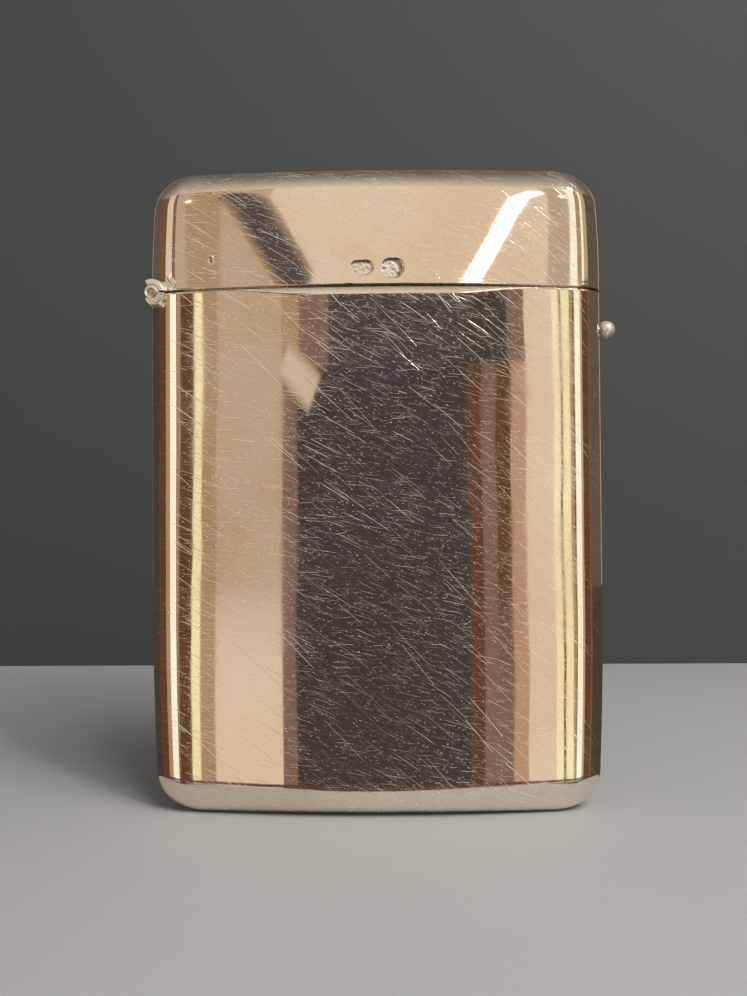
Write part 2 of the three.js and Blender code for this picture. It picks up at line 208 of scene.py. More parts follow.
def lay_along(bm: bmesh.types.BMesh, axis: Vector, middle: Vector) -> None:
    """Turns a mesh made round the upright axis at the origin to another axis.

    Args:
        bm: The mesh.
        axis: Direction of the other axis.
        middle: Where the origin goes.
    """
    turn = axis.to_track_quat("Z", "Y").to_matrix().to_4x4()
    bmesh.ops.transform(bm, matrix=Matrix.Translation(middle) @ turn, verts=bm.verts)


def bar(radius: float, axis: Vector, middle: Vector, length: float) -> bmesh.types.BMesh:
    """Makes a closed round bar.

    Args:
        radius: Radius of the bar.
        axis: Direction of the bar.
        middle: Middle of the bar.
        length: Length of the bar.

    Returns:
        The mesh of the bar.
    """
    bm = bmesh.new()
    bmesh.ops.create_cone(bm, cap_ends=True, segments=128, radius1=radius, radius2=radius, depth=length)
    lay_along(bm, axis, middle)
    return bm


def slab(low: Vector, high: Vector) -> bmesh.types.BMesh:
    """Makes a box between two corners.

    Args:
        low: Lowest corner.
        high: Highest corner.

    Returns:
        The mesh of the box.
    """
    bm = bmesh.new()
    bmesh.ops.create_cube(bm, size=1)
    bmesh.ops.scale(bm, vec=high - low, verts=bm.verts)
    bmesh.ops.translate(bm, vec=(high + low) / 2, verts=bm.verts)
    return bm


def turned(
    profile: list[tuple[float, float]], axis: Vector, middle: Vector, steps: int = 64
) -> bmesh.types.BMesh:
    """Turns a profile about an axis.

    Args:
        profile: Points as (distance along the axis, radius).
        axis: Direction of the axis.
        middle: Point on the axis from which distances count.
        steps: Steps in the full turn.

    Returns:
        The mesh of the turned piece.
    """
    bm = bmesh.new()
    verts = [bm.verts.new((radius, 0, along)) for along, radius in profile]
    edges = [bm.edges.new(pair) for pair in zip(verts, verts[1:])]
    if profile[0][1] > 0 and profile[-1][1] > 0:
        edges.append(bm.edges.new((verts[-1], verts[0])))
    bmesh.ops.spin(
        bm, geom=verts + edges, cent=(0, 0, 0), axis=(0, 0, 1), angle=math.tau, steps=steps, use_merge=True
    )
    bmesh.ops.remove_doubles(bm, verts=bm.verts, dist=TINY)
    bmesh.ops.recalc_face_normals(bm, faces=bm.faces)
    lay_along(bm, axis, middle)
    return bm


def round_off(
    bm: bmesh.types.BMesh, edges: list[bmesh.types.BMEdge], offset: float, segments: int
) -> None:
    """Rounds edges of a mesh.

    Args:
        bm: The mesh.
        edges: Its edges to round.
        offset: Width of the rounding.
        segments: Number of steps in it.
    """
    bmesh.ops.bevel(
        bm,
        geom=edges,
        offset=offset,
        offset_type="OFFSET",
        segments=segments,
        profile=0.5,
        affect="EDGES",
        clamp_overlap=True,
        material=-1,
    )


@dataclass(frozen=True)
class Fineness:
    """Numbers of steps in a mesh of the case.

    Attributes:
        side: Steps round one side.
        shoulder: Steps round one shoulder.
        face: Steps across a face.
        end: Steps up a rounded end.
        rise: Height of a step up a straight wall.
        lip_rise: Height of a step just beside the lip.
        lip_steps: Number of steps just beside the lip.
    """

    side: int = 14
    shoulder: int = 20
    face: int = 66
    end: int = 22
    rise: float = 0.75 * MM
    lip_rise: float = 0.11 * MM
    lip_steps: int = 10


@dataclass(frozen=True)
class Section:
    """Level section of the case: crowned faces, shoulders and narrow sides in tangent arcs.

    Attributes:
        half_width: Half of its width.
        half_depth: Half of its depth at the middle.
        shoulder_radius: Radius between a face and a side.
        side_radius: Radius of its sides.
        shoulder_turn: Angle from the front at which a shoulder meets its side.
    """

    half_width: float
    half_depth: float
    shoulder_radius: float
    side_radius: float
    shoulder_turn: float = math.radians(40)

    @property
    def side_x(self) -> float:
        """Distance of a side's centre from the middle."""
        return self.half_width - self.side_radius

    @property
    def shoulder_x(self) -> float:
        """Distance of a shoulder's centre from the middle."""
        return self.side_x - (self.shoulder_radius - self.side_radius) * math.sin(self.shoulder_turn)

    @property
    def shoulder_back(self) -> float:
        """Distance of a shoulder's centre behind the middle plane."""
        return (self.shoulder_radius - self.side_radius) * math.cos(self.shoulder_turn)

    @property
    def crown_turn(self) -> float:
        """Angle from the front at which a face meets its shoulder."""
        rise = self.half_depth - self.shoulder_radius + self.shoulder_back
        return 2 * math.atan2(rise, self.shoulder_x)

    @property
    def crown_radius(self) -> float:
        """Radius of a face."""
        return self.shoulder_x / math.sin(self.crown_turn) + self.shoulder_radius

    def front_point(self, turn: float) -> tuple[float, float]:
        """Finds the point of the front whose outward direction is turned from straight ahead.

        Args:
            turn: The angle, to the right where positive.

        Returns:
            Its x and y.
        """
        size = abs(turn)
        side = math.copysign(1, turn)
        if size < self.crown_turn:
            centre, radius = (0.0, self.crown_radius - self.half_depth), self.crown_radius
        elif size < self.shoulder_turn:
            centre, radius = (self.shoulder_x, self.shoulder_back), self.shoulder_radius
        else:
            centre, radius = (self.side_x, 0.0), self.side_radius
        return side * (centre[0] + radius * math.sin(size)), centre[1] - radius * math.cos(size)

    def outline(self, height: float, half: Half, fineness: Fineness) -> bmesh.types.BMesh:
        """Spins the outline of one stamping from its left edge to its right edge.

        Args:
            height: Height of the section.
            half: Which stamping.
            fineness: Numbers of steps.

        Returns:
            A mesh that holds the open outline.
        """
        bm = bmesh.new()
        sense = half.value
        last = bm.verts.new((-self.half_width, 0, height))
        side_turn = math.pi / 2 - self.shoulder_turn
        shoulder_turn = self.shoulder_turn - self.crown_turn
        back = sense * self.shoulder_back
        crown = sense * (self.crown_radius - self.half_depth)
        arcs = [
            ((-self.side_x, 0, height), side_turn, fineness.side),
            ((-self.shoulder_x, back, height), shoulder_turn, fineness.shoulder),
            ((0, crown, height), 2 * self.crown_turn, fineness.face),
            ((self.shoulder_x, back, height), shoulder_turn, fineness.shoulder),
            ((self.side_x, 0, height), side_turn, fineness.side),
        ]
        for centre, angle, steps in arcs:
            made = bmesh.ops.spin(
                bm, geom=[last], cent=centre, axis=(0, 0, 1), angle=sense * angle, steps=steps
            )
            last = next(item for item in made["geom_last"] if isinstance(item, bmesh.types.BMVert))
        last.co.y = 0
        return bm


def lofted(
    outlines: list[bmesh.types.BMesh],
) -> tuple[bmesh.types.BMesh, list[list[bmesh.types.BMEdge]]]:
    """Bridges open outlines into one skin.

    Args:
        outlines: Meshes of the outlines in order, which are freed.

    Returns:
        The skin, and the edges of each outline in it.
    """
    bm = bmesh.new()
    rings = []
    for outline in outlines:
        known = len(bm.edges)
        add_in(bm, outline)
        bm.edges.ensure_lookup_table()
        rings.append(bm.edges[known:])
    for lower, upper in zip(rings, rings[1:]):
        bmesh.ops.bridge_loops(bm, edges=lower + upper)
    return bm, rings


@dataclass(frozen=True)
class CaseForm:
    """Outside form of the shut case, with the sizes that its box doesn't give.

    Attributes:
        half_width: Half of the width of the case.
        half_depth: Half of its depth.
        height: Height of the case.
        body_top: Height of the body's lip.
        lid_bottom: Height of the lid's lip.
        sheet: Thickness of the sheet.
        shoulder_radius: Radius between the faces and the narrow sides.
        side_radius: Radius of the narrow sides.
        base_corner: Radius of the lower corners, seen from the front.
        top_corner: Radius of the upper corners, seen from the front.
        end_round: Radius of the ends, seen from the side.
        body_lean: How far the body's faces draw in towards the base.
        lid_lean: How far the lid's faces draw in towards the top.
        taper: How far the narrow sides draw in towards an end, before its corners.
        base_taper_run: Height over which they do so at the base.
        top_taper_run: Height over which they do so at the top.
    """

    half_width: float
    half_depth: float
    height: float
    body_top: float
    lid_bottom: float
    sheet: float = 0.6 * MM
    shoulder_radius: float = 7.0 * MM
    side_radius: float = 2.5 * MM
    base_corner: float = 5.4 * MM
    top_corner: float = 4.9 * MM
    end_round: float = 3.6 * MM
    body_lean: float = 0.3 * MM
    lid_lean: float = 0.35 * MM
    taper: float = 0.8 * MM
    base_taper_run: float = 30 * MM
    top_taper_run: float = 15 * MM

    @classmethod
    def from_frame(cls) -> "CaseForm":
        """Reads the main sizes from the boxes of the shell nodes."""
        body_low, body_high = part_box("body_front")
        lid_low, lid_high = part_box("lid_front")
        return cls(
            half_width=body_high[0],
            half_depth=-body_low[1],
            height=lid_high[2],
            body_top=body_high[2],
            lid_bottom=lid_low[2],
        )

    @property
    def seam(self) -> float:
        """Height of the middle of the seam."""
        return (self.body_top + self.lid_bottom) / 2

    @staticmethod
    def draw_in(distance: float, radius: float) -> float:
        """How far a quarter round draws a wall in at a distance from its end."""
        run = radius - min(max(distance, 0.0), radius)
        return radius - math.sqrt(radius * radius - run * run)

    def section(self, height: float, inset: float = 0.0) -> Section:
        """Gives the section at a height.

        Args:
            height: Height above the base.
            inset: How far inside the outer face the section lies.

        Returns:
            The section.
        """
        in_lid = height > self.seam
        from_end = self.height - height if in_lid else height
        distance = from_end - inset
        if in_lid:
            corner, run = self.top_corner, self.top_taper_run
            lean = self.lid_lean * (height - self.seam) / (self.height - self.seam)
        else:
            corner, run = self.base_corner, self.base_taper_run
            lean = self.body_lean * (1 - height / self.seam) ** 2
        taper = self.taper * max(0.0, 1 - from_end / run) ** 2
        full = self.half_depth - inset
        half_depth = full - lean - self.draw_in(distance, self.end_round - inset)
        half_width = self.half_width - inset - taper - self.draw_in(distance, corner - inset)
        share = half_depth / full
        return Section(
            half_width,
            half_depth,
            (self.shoulder_radius - inset) * share,
            (self.side_radius - inset) * share,
        )

    def heights(self, low: float, high: float, fineness: Fineness) -> list[float]:
        """Lists the heights of a stamping's sections from its closed end to its lip.

        Args:
            low: Height of the closed end or of the lip, whichever is lower.
            high: Height of the other.
            fineness: Numbers of steps.

        Returns:
            Heights from the closed end to the lip.
        """
        closed_high = low >= self.seam
        length = high - low
        corner = self.top_corner if closed_high else self.base_corner
        turns = [math.pi / 2 * i / fineness.end for i in range(fineness.end + 1)]
        steps = [corner * (1 - math.cos(turn)) for turn in turns]
        lip_run = fineness.lip_rise * fineness.lip_steps
        count = round((length - steps[-1] - lip_run) / fineness.rise)
        rise = (length - steps[-1] - lip_run) / count
        steps += [steps[-1] + rise * (i + 1) for i in range(count)]
        steps += [length - lip_run + fineness.lip_rise * (i + 1) for i in range(fineness.lip_steps)]
        return [high - s if closed_high else low + s for s in steps]


@dataclass(frozen=True)
class Mark:
    """Small punched sinking with a blank, worn floor, struck deeper on its right.

    Attributes:
        x: Place of its middle across the face.
        z: Height of its middle.
        width: Width of the sinking.
        height: Height of the sinking.
        corner: Radius of its corners.
        depth: Depth of its floor at the right.
        left_share: Share of the depth that it has at the left.
        crumbs: Height of the worn grain on the floor.
        right_shade_width: Width of the painted shade along its right edge, where that edge shades the
            floor.
        stain: Share of darkening all over its floor.
        soft: Half of the width over which its edge slopes.
        grain_size: Breadth of the worn grain.
        fine_grain_size: Breadth of the finer grain in it.
    """

    x: float
    z: float
    width: float
    height: float
    corner: float
    depth: float
    left_share: float = 0.25
    crumbs: float = 0.03 * MM
    right_shade_width: float = 0.2 * MM
    stain: float = 0.0
    soft: float = 0.24 * MM
    grain_size: float = 0.42 * MM
    fine_grain_size: float = 0.2 * MM

    def outside(self, x: float, z: float) -> float:
        """Distance of a place from the edge of the sinking, negative inside it."""
        across = abs(x - self.x) - self.width / 2 + self.corner
        up = abs(z - self.z) - self.height / 2 + self.corner
        return math.hypot(max(across, 0), max(up, 0)) + min(max(across, up), 0) - self.corner

    def sink(self, x: float, z: float) -> float:
        """Gives how deep the face lies below its own level at a place.

        Args:
            x: Place across the face.
            z: Height.

        Returns:
            The depth.
        """
        outside = self.outside(x, z)
        if outside > self.soft:
            return 0.0
        to_right = smoothstep(-0.5, 0.45, (x - self.x) / self.width)
        inside = 1 - smoothstep(-self.soft, self.soft, outside)
        depth = self.depth * (self.left_share + (1 - self.left_share) * to_right)
        grain = noise.noise(Vector((x, z, self.x)) / self.grain_size)
        grain += 0.5 * noise.noise(Vector((z, x, 0)) / self.fine_grain_size)
        return inside * (depth - inside * self.crumbs * grain)

    def bared(self, x: float, z: float) -> float:
        """Share of bare, grainy metal at a place."""
        return (1 - self.stain) * (1 - smoothstep(-0.25 * MM, 0.1 * MM, self.outside(x, z)))

    def tarnish(self, x: float, z: float) -> float:
        """Share of painted shade under the upper and the right edge, which shade the floor, and of floor
        darkening.
        """
        outside = self.outside(x, z)
        # Painted shade: a thin line under the upper edge and a band inside the right edge.
        line = 1 - smoothstep(0.0, 0.13 * MM, abs(outside + 0.1 * MM))
        upper = 0.6 * line * smoothstep(0.25, 0.42, (z - self.z) / self.height)
        inside = 1 - smoothstep(-0.1 * MM, 0.02 * MM, outside)
        wide = 1 - smoothstep(0.6 * self.right_shade_width, self.right_shade_width, -outside)
        right = 0.85 * inside * wide * smoothstep(0.1, 0.32, (x - self.x) / self.width)
        return max(upper, right, self.stain * inside)


MARKS = (
    Mark(
        x=-1.71 * MM,
        z=74.42 * MM,
        width=2.92 * MM,
        height=1.8 * MM,
        corner=0.8 * MM,
        depth=0.08 * MM,
        left_share=0.5,
    ),
    Mark(
        x=2.44 * MM,
        z=74.35 * MM,
        width=2.85 * MM,
        height=2.41 * MM,
        corner=1.05 * MM,
        depth=0.16 * MM,
        crumbs=0.04 * MM,
        # Band of painted shade inside the right edge.
        right_shade_width=0.75 * MM,
    ),
    Mark(
        x=-22.46 * MM,
        z=76.17 * MM,
        width=0.48 * MM,
        height=0.9 * MM,
        corner=0.24 * MM,
        depth=0.1 * MM,
        left_share=0.8,
        crumbs=0,
        stain=1.0,
    ),
)


@dataclass(frozen=True)
class FileRidges:
    """Short slanting ridges that a file left beside the hinge.

    Attributes:
        x: Place of their middle across the face.
        z: Height of their middle.
        half_width: Half of the width that they cover.
        half_height: Half of the height that they cover.
        pitch: Distance from ridge to ridge.
        slope_deg: Their direction, down to the right.
        depth: Depth of the grooves between them.
    """

    x: float = -28.45 * MM
    z: float = 73.35 * MM
    half_width: float = 0.95 * MM
    half_height: float = 0.8 * MM
    pitch: float = 0.5 * MM
    slope_deg: float = 50
    depth: float = 0.045 * MM

    def window(self, x: float, z: float) -> float:
        """Share of the filing at a place."""
        across, up = (x - self.x) / self.half_width, (z - self.z) / self.half_height
        return 1 - smoothstep(0.55, 1.0, math.hypot(across, up))

    def sink(self, x: float, z: float) -> float:
        """Gives the depth of the grooves at a place.

        Args:
            x: Place across the face.
            z: Height.

        Returns:
            Depth below the face.
        """
        slope = math.radians(self.slope_deg)
        run = (x - self.x) * math.sin(slope) + (z - self.z) * math.cos(slope)
        wave = 0.5 + 0.5 * math.cos(math.tau * run / self.pitch)
        return self.depth * self.window(x, z) * wave**1.5


@dataclass(frozen=True)
class Dents:
    """Unevenness that years of rubbing and knocks leave in the sheet.

    Attributes:
        swell: Greatest depth of the broad unevenness.
        swell_size: Breadth of the broad unevenness.
        ripple: Greatest depth of the finer unevenness.
        ripple_size: Breadth of the finer unevenness.
    """

    swell: float = 0.045 * MM
    swell_size: float = 13 * MM
    ripple: float = 0.004 * MM
    ripple_size: float = 3.6 * MM

    def sink(self, place: Vector) -> float:
        """Gives how far the sheet lies inside its true form at a place.

        Args:
            place: A point on the sheet.

        Returns:
            Depth, never negative.
        """
        broad = 0.5 + 0.5 * noise.noise(place / self.swell_size)
        fine = 0.5 + 0.5 * noise.noise(place / self.ripple_size + Vector((7, 3, 1)))
        return self.swell * broad + self.ripple * fine


@dataclass(frozen=True)
class LipWear:
    """Softening of the body's lip, strongest at the middle where the thumb opens the lid.

    Attributes:
        drop: How far the worn edge lies inside the true form.
        reach: Height of the worn band at the middle.
        corner_reach: Height of the worn band towards the sides.
        half_span: Half of the width over which it is worn.
    """

    drop: float = 0.25 * MM
    reach: float = 1.0 * MM
    corner_reach: float = 0.25 * MM
    half_span: float = 21 * MM

    def sink(self, x: float, below: float) -> float:
        """Gives how far the edge is worn in.

        Args:
            x: Place across the face.
            below: Distance below the lip.

        Returns:
            Depth below the true form.
        """
        worn = 1 - smoothstep(0.5 * self.half_span, self.half_span, abs(x))
        reach = self.corner_reach + (self.reach - self.corner_reach) * worn
        drop = self.drop * (0.2 + 0.8 * worn)
        return drop * max(0.0, 1 - below / reach) ** 2


@dataclass
class Stamping:
    """One stamped half of the body or of the lid.

    Attributes:
        form: Form of the shut case.
        name: Name of the piece and of the node that it stands for.
        half: Front or back.
        body: Body that carries it.
        low: Height of its lower end.
        high: Height of its upper end.
        lip_round: Radius of the outer edge of its lip.
        lip_inner: Radius of the inner edge of its lip.
        marks: Sinkings punched into its face.
        ridges: File marks on it.
        wear: Wear of its lip.
        dents: Its unevenness.
        fineness: Numbers of steps.
        work_margin: How far round a mark its faces are divided.
        work_cuts: Number of cuts across each of these faces.
        kept_rows: Number of rows beside the lip that stay undivided.
        skin_snap: Distance within which the outer face is set onto the middle plane.
        wall_snap: Distance within which the wall is set onto the middle plane.
        ridge_filing: Strength of the filing where the ridges are.
        seam_painted_shade: Strength of the painted shade along the lip, where the seam's gap is.
        seam_reach: Width of that painted shade.
    """

    form: CaseForm
    name: str
    half: Half
    body: Body
    low: float
    high: float
    lip_round: float = 0.16 * MM
    lip_inner: float = 0.1 * MM
    marks: tuple[Mark, ...] = ()
    ridges: FileRidges | None = None
    wear: LipWear | None = None
    dents: Dents = Dents()
    fineness: Fineness = Fineness()
    work_margin: float = 0.9 * MM
    work_cuts: int = 8
    kept_rows: int = 3
    skin_snap: float = 0.05 * MM
    wall_snap: float = 0.06 * MM
    ridge_filing: float = 0.8
    seam_painted_shade: float = 0.55
    seam_reach: float = 0.22 * MM

    @property
    def lip(self) -> float:
        """Height of the lip."""
        return self.high if self.body is Body.CASE else self.low

    def outward(self, place: Vector) -> Vector:
        """Level direction away from the middle of the case, roughly square to its wall."""
        form = self.form
        return Vector((place.x / form.half_width**2, place.y / form.half_depth**2, 0)).normalized()

    def skin(self) -> bmesh.types.BMesh:
        """Lofts the outer face through its sections and closes its end.

        Returns:
            The open outer face.
        """
        outlines = []
        for height in self.form.heights(self.low, self.high, self.fineness):
            section = self.form.section(min(max(height, self.low), self.high))
            outlines.append(section.outline(height, self.half, self.fineness))
        bm, rings = lofted(outlines)
        verts = dict.fromkeys(v for e in rings[0] for v in e.verts)
        ends = [v for v in verts if abs(v.co.y) < TINY]
        closing = bm.edges.new(ends)
        bmesh.ops.contextual_create(bm, geom=rings[0] + [closing])
        bmesh.ops.recalc_face_normals(bm, faces=bm.faces)
        bm.faces.ensure_lookup_table()
        middle = max(bm.faces, key=lambda f: abs(f.calc_center_median().y))
        if middle.normal.dot(FRONTWARD * self.half.value) < 0:
            bmesh.ops.reverse_faces(bm, faces=bm.faces)
        return bm

    def divide_for_work(self, bm: bmesh.types.BMesh) -> None:
        """Divides the faces that the marks and the ridges need, and leaves the rows beside the lip.

        Args:
            bm: The outer face.
        """
        margin, ridges = self.work_margin, self.ridges
        places = [(m.x, m.z, m.width / 2 + margin, m.height / 2 + margin) for m in self.marks]
        if ridges:
            places.append((ridges.x, ridges.z, ridges.half_width, ridges.half_height))
        near = []
        for face in bm.faces:
            centre = face.calc_center_median()
            inside = any(
                abs(centre.x - x) < half_width and abs(centre.z - z) < half_height
                for x, z, half_width, half_height in places
            )
            beside_lip = abs(centre.z - self.lip) < self.kept_rows * self.fineness.lip_rise
            if inside and not beside_lip and len(face.verts) == 4:
                near.append(face)
        if near:
            edges = list(dict.fromkeys(edge for face in near for edge in face.edges))
            bmesh.ops.subdivide_edges(bm, edges=edges, cuts=self.work_cuts, use_grid_fill=True)

    def work_face(self, bm: bmesh.types.BMesh) -> None:
        """Strikes the marks and files the ridges, on the outside of the sheet only.

        Args:
            bm: The closed wall.
        """
        bm.normal_update()
        inward = Vector((0, self.half.value, 0))
        for vert in [v for v in bm.verts if v.normal.dot(inward) < 0]:
            deep = sum(mark.sink(vert.co.x, vert.co.z) for mark in self.marks)
            if self.ridges:
                deep += self.ridges.sink(vert.co.x, vert.co.z)
            vert.co += inward * deep

    def thicken(self, bm: bmesh.types.BMesh) -> None:
        """Gives the sheet its thickness, levels and wears its lip and rounds it.

        Args:
            bm: The outer face, which becomes a closed wall.
        """
        bmesh.ops.solidify(bm, geom=bm.faces, thickness=self.form.sheet)
        for vert in bm.verts:
            if abs(vert.co.y) < self.wall_snap:
                vert.co.y = 0
            if abs(vert.co.z - self.lip) < self.fineness.lip_rise / 3:
                vert.co.z = self.lip
        bmesh.ops.recalc_face_normals(bm, faces=bm.faces)
        bm.normal_update()
        if self.wear:
            reach = self.wear.reach
            for vert in bm.verts:
                below = abs(vert.co.z - self.lip)
                outward = self.outward(vert.co)
                if below < reach and vert.normal.dot(outward) > 0:
                    vert.co -= outward * self.wear.sink(vert.co.x, below)
        for outside, offset, segments in ((True, self.lip_round, 5), (False, self.lip_inner, 2)):
            round_off(bm, self.lip_edges(bm, outside), offset, segments)

    def lip_edges(self, bm: bmesh.types.BMesh, outside: bool) -> list[bmesh.types.BMEdge]:
        """Finds the edges of the lip on one side of the wall.

        Args:
            bm: The closed wall.
            outside: Whether to find the outer edges or the inner ones.

        Returns:
            The edges.
        """
        rim = dict.fromkeys(f for f in bm.faces if all(abs(v.co.z - self.lip) < NEAR for v in f.verts))
        found = []
        for edge in dict.fromkeys(e for f in rim for e in f.edges):
            walls = [f for f in edge.link_faces if f not in rim]
            if not walls or abs(edge.verts[0].co.y) + abs(edge.verts[1].co.y) < TINY:
                continue
            middle = (edge.verts[0].co + edge.verts[1].co) / 2
            if (walls[0].normal.dot(self.outward(middle)) > 0) == outside:
                found.append(edge)
        return found

    def tarnish(self, place: Vector) -> float:
        """Share of painted shade along the lip and under the marks' edges, and of a darkened mark floor.
        """
        depth = max((mark.tarnish(place.x, place.z) for mark in self.marks), default=0.0)
        if self.half is Half.FRONT and place.y > 0:
            depth = 0.0
        # Painted shade along the lip, for the seam's gap.
        seam = self.seam_painted_shade * (1 - smoothstep(0.0, self.seam_reach, abs(place.z - self.lip)))
        return max(depth, seam)

    def filing(self, place: Vector) -> float:
        """Share of bared or filed metal at a place of the wall."""
        if self.outward(place).y * self.half.value >= 0:
            return 0.0
        shares = [mark.bared(place.x, place.z) for mark in self.marks]
        if self.ridges:
            shares.append(self.ridge_filing * self.ridges.window(place.x, place.z))
        return max(shares, default=0.0)

    def build(self, material: bpy.types.Material, cuts: list[bmesh.types.BMesh]) -> bpy.types.Object:
        """Makes the stamping.

        Args:
            material: Its finish.
            cuts: Closed meshes to cut out of it.

        Returns:
            The piece.
        """
        bm = self.skin()
        bm.normal_update()
        for vert in bm.verts:
            vert.co -= vert.normal * self.dents.sink(vert.co)
            if abs(vert.co.y) < self.skin_snap:
                vert.co.y = 0
        self.divide_for_work(bm)
        self.thicken(bm)
        self.work_face(bm)
        if cuts:
            bm = cut_away(bm, cuts)
        # The tarnish attribute carries painted shade at the seam and under the marks' edges, and a
        # darkened mark floor.
        weigh(bm, "tarnish", lambda vert: self.tarnish(vert.co))
        weigh(bm, "filed", lambda vert: self.filing(vert.co))
        return finished_piece(
            self.name, bm, material, self.body, (self.name,), crease_deg=40
        )


@dataclass
class Hinge:
    """Knuckles, pin and bearers let into the left side.

    Attributes:
        form: Form of the shut case.
        radius: Radius of the barrel.
        length: Length of the barrel and of the bearers.
        pin_radius: Radius of the pin.
        bore_gap: Gap between the pin and the knuckles.
        groove_gap: Gap between the barrel and the bearers.
        bearer_radius: Outer radius of the bearers.
        wall_gap: Gap between the bearers and the walls that they are soldered into.
        lid_edge_deg: Angle above level at which the lid's bearer ends outside.
        body_edge_deg: Angle below level at which the body's bearer ends outside.
        knuckle_gap: Gap between knuckles.
        edge_round: Rounding of the knuckles' edges.
        bead_round: Rounding of the lid bearer's ends.
        crescent_round: Rounding of the body bearer's ends.
        tip_round: Rounding of the bearers' outer edges.
        pin_round: Rounding of the pin's ends.
        dome: How far the ends of the barrel are filed back at their edge.
        filed_edge: Radius to which the body bearer is filed down at its outer edge.
        bore_painted_shade: Strength of the painted shade round the knuckles' bores, for the gap round the
            pin.
        end_filing: Strength of the filing on the ends of the barrel.
        barrel_filing: Strength of the filing round the barrel.
        bead_filing: Strength of the filing on the lid bearer's ends.
        crescent_filing: Strength of the filing on the body bearer's ends.
        bearer_filing: Strength of the filing along the bearers.
        count: Number of knuckles.
        corner_steps: Steps round a rounded edge.
        bend_steps: Steps round a bearer.
        pips: Place and radius of each drop of solder, in millimetres.
        pip_form: Factors on the radius of a drop, across, outwards and up.
    """

    form: CaseForm
    radius: float = 1.0 * MM
    length: float = 6.8 * MM
    pin_radius: float = 0.42 * MM
    bore_gap: float = 0.015 * MM
    groove_gap: float = 0.03 * MM
    bearer_radius: float = 1.85 * MM
    wall_gap: float = -0.01 * MM
    lid_edge_deg: float = 60
    body_edge_deg: float = 52
    knuckle_gap: float = 0.06 * MM
    edge_round: float = 0.12 * MM
    bead_round: float = 0.38 * MM
    crescent_round: float = 0.2 * MM
    tip_round: float = 0.2 * MM
    pin_round: float = 0.2 * MM
    dome: float = 0.08 * MM
    filed_edge: float = 1.45 * MM
    bore_painted_shade: float = 0.5
    end_filing: float = 0.8
    barrel_filing: float = 0.2
    bead_filing: float = 1.5
    crescent_filing: float = 1.1
    bearer_filing: float = 0.4
    count: int = 5
    corner_steps: int = 5
    bend_steps: int = 48
    pips: tuple[tuple[tuple[float, float, float], float], ...] = (
        ((-29.66, -3.4, 71.78), 0.2),
        ((-28.81, -3.05, 71.7), 0.24),
    )
    pip_form: tuple[float, float, float] = (1.15, 0.62, 0.85)

    @property
    def axis_point(self) -> Vector:
        """A point on the hinge's axis, from the frame's joint."""
        joint = next(j for j in frame["record"]["behaviour"]["joints"] if j["name"] == "lid_hinge")
        return Vector(joint["pos_m"])

    def notch(self) -> bmesh.types.BMesh:
        """Bar that cuts the room for the bearers out of the walls."""
        reach = 4 * self.form.half_depth
        return bar(self.bearer_radius + self.wall_gap, -FRONTWARD, self.axis_point, reach)

    def rounded_run(
        self, start: float, end: float, radius: float, soft: float
    ) -> list[tuple[float, float]]:
        """Draws the outside of a turned length, with both of its edges rounded.

        Args:
            start: Where it starts along the axis.
            end: Where it ends.
            radius: Its radius.
            soft: Radius of its edges.

        Returns:
            Points as (distance along the axis, radius).
        """
        points = []
        for along, first_deg in ((start + soft, 180), (end - soft, 90)):
            for i in range(self.corner_steps + 1):
                angle = math.radians(first_deg - 90 * i / self.corner_steps)
                points.append((along + soft * math.cos(angle), radius - soft + soft * math.sin(angle)))
        return points

    def knuckle(self, index: int, material: bpy.types.Material) -> bpy.types.Object:
        """Makes one knuckle.

        Args:
            index: Its place from the front, from 0.
            material: Its finish.

        Returns:
            The piece.
        """
        at_front, at_back = index == 0, index == self.count - 1
        pitch, half_gap = self.length / self.count, self.knuckle_gap / 2
        start = -self.length / 2 + index * pitch + (0 if at_front else half_gap)
        end = -self.length / 2 + (index + 1) * pitch - (0 if at_back else half_gap)
        front_dome = self.dome if at_front else 0.0
        back_dome = self.dome if at_back else 0.0
        bore = self.pin_radius + self.bore_gap
        half_out = (bore + self.radius) / 2
        profile = [(start, bore), (start + 0.3 * front_dome, half_out)]
        profile += self.rounded_run(start + front_dome, end - back_dome, self.radius, self.edge_round)
        profile += [(end - 0.3 * back_dome, half_out), (end, bore)]
        axis_point = self.axis_point
        bm = turned(profile, -FRONTWARD, axis_point)
        filed_from = self.length / 2 - self.dome - 0.5 * self.edge_round

        def tarnish(vert: bmesh.types.BMVert) -> float:
            """Share of painted shade round the bore, for the gap round the pin."""
            from_axis = math.hypot(vert.co.x - axis_point.x, vert.co.z - axis_point.z)
            return self.bore_painted_shade * (1 - smoothstep(bore, bore + 0.1 * MM, from_axis))

        # The tarnish attribute here is painted shade round the pin.
        weigh(bm, "tarnish", tarnish)
        weigh(bm, "filed", lambda v: self.end_filing if abs(v.co.y) > filed_from else self.barrel_filing)
        owner = "body" if index % 2 == 0 else "lid"
        name = f"{owner}_knuckle_{index // 2 + 1}"
        body = Body.CASE if owner == "body" else Body.LID
        return finished_piece(name + "_turned", bm, material, body, (name,), 50)

    def pin(self, material: bpy.types.Material) -> bpy.types.Object:
        """Makes the pin, its ends dressed slightly round."""
        half = self.length / 2
        outside = self.rounded_run(-half, half, self.pin_radius, self.pin_round)
        bm = turned([(-half, 0), *outside, (half, 0)], -FRONTWARD, self.axis_point, 40)
        return finished_piece("hinge_pin_wire", bm, material, Body.CASE, ("hinge_pin",))

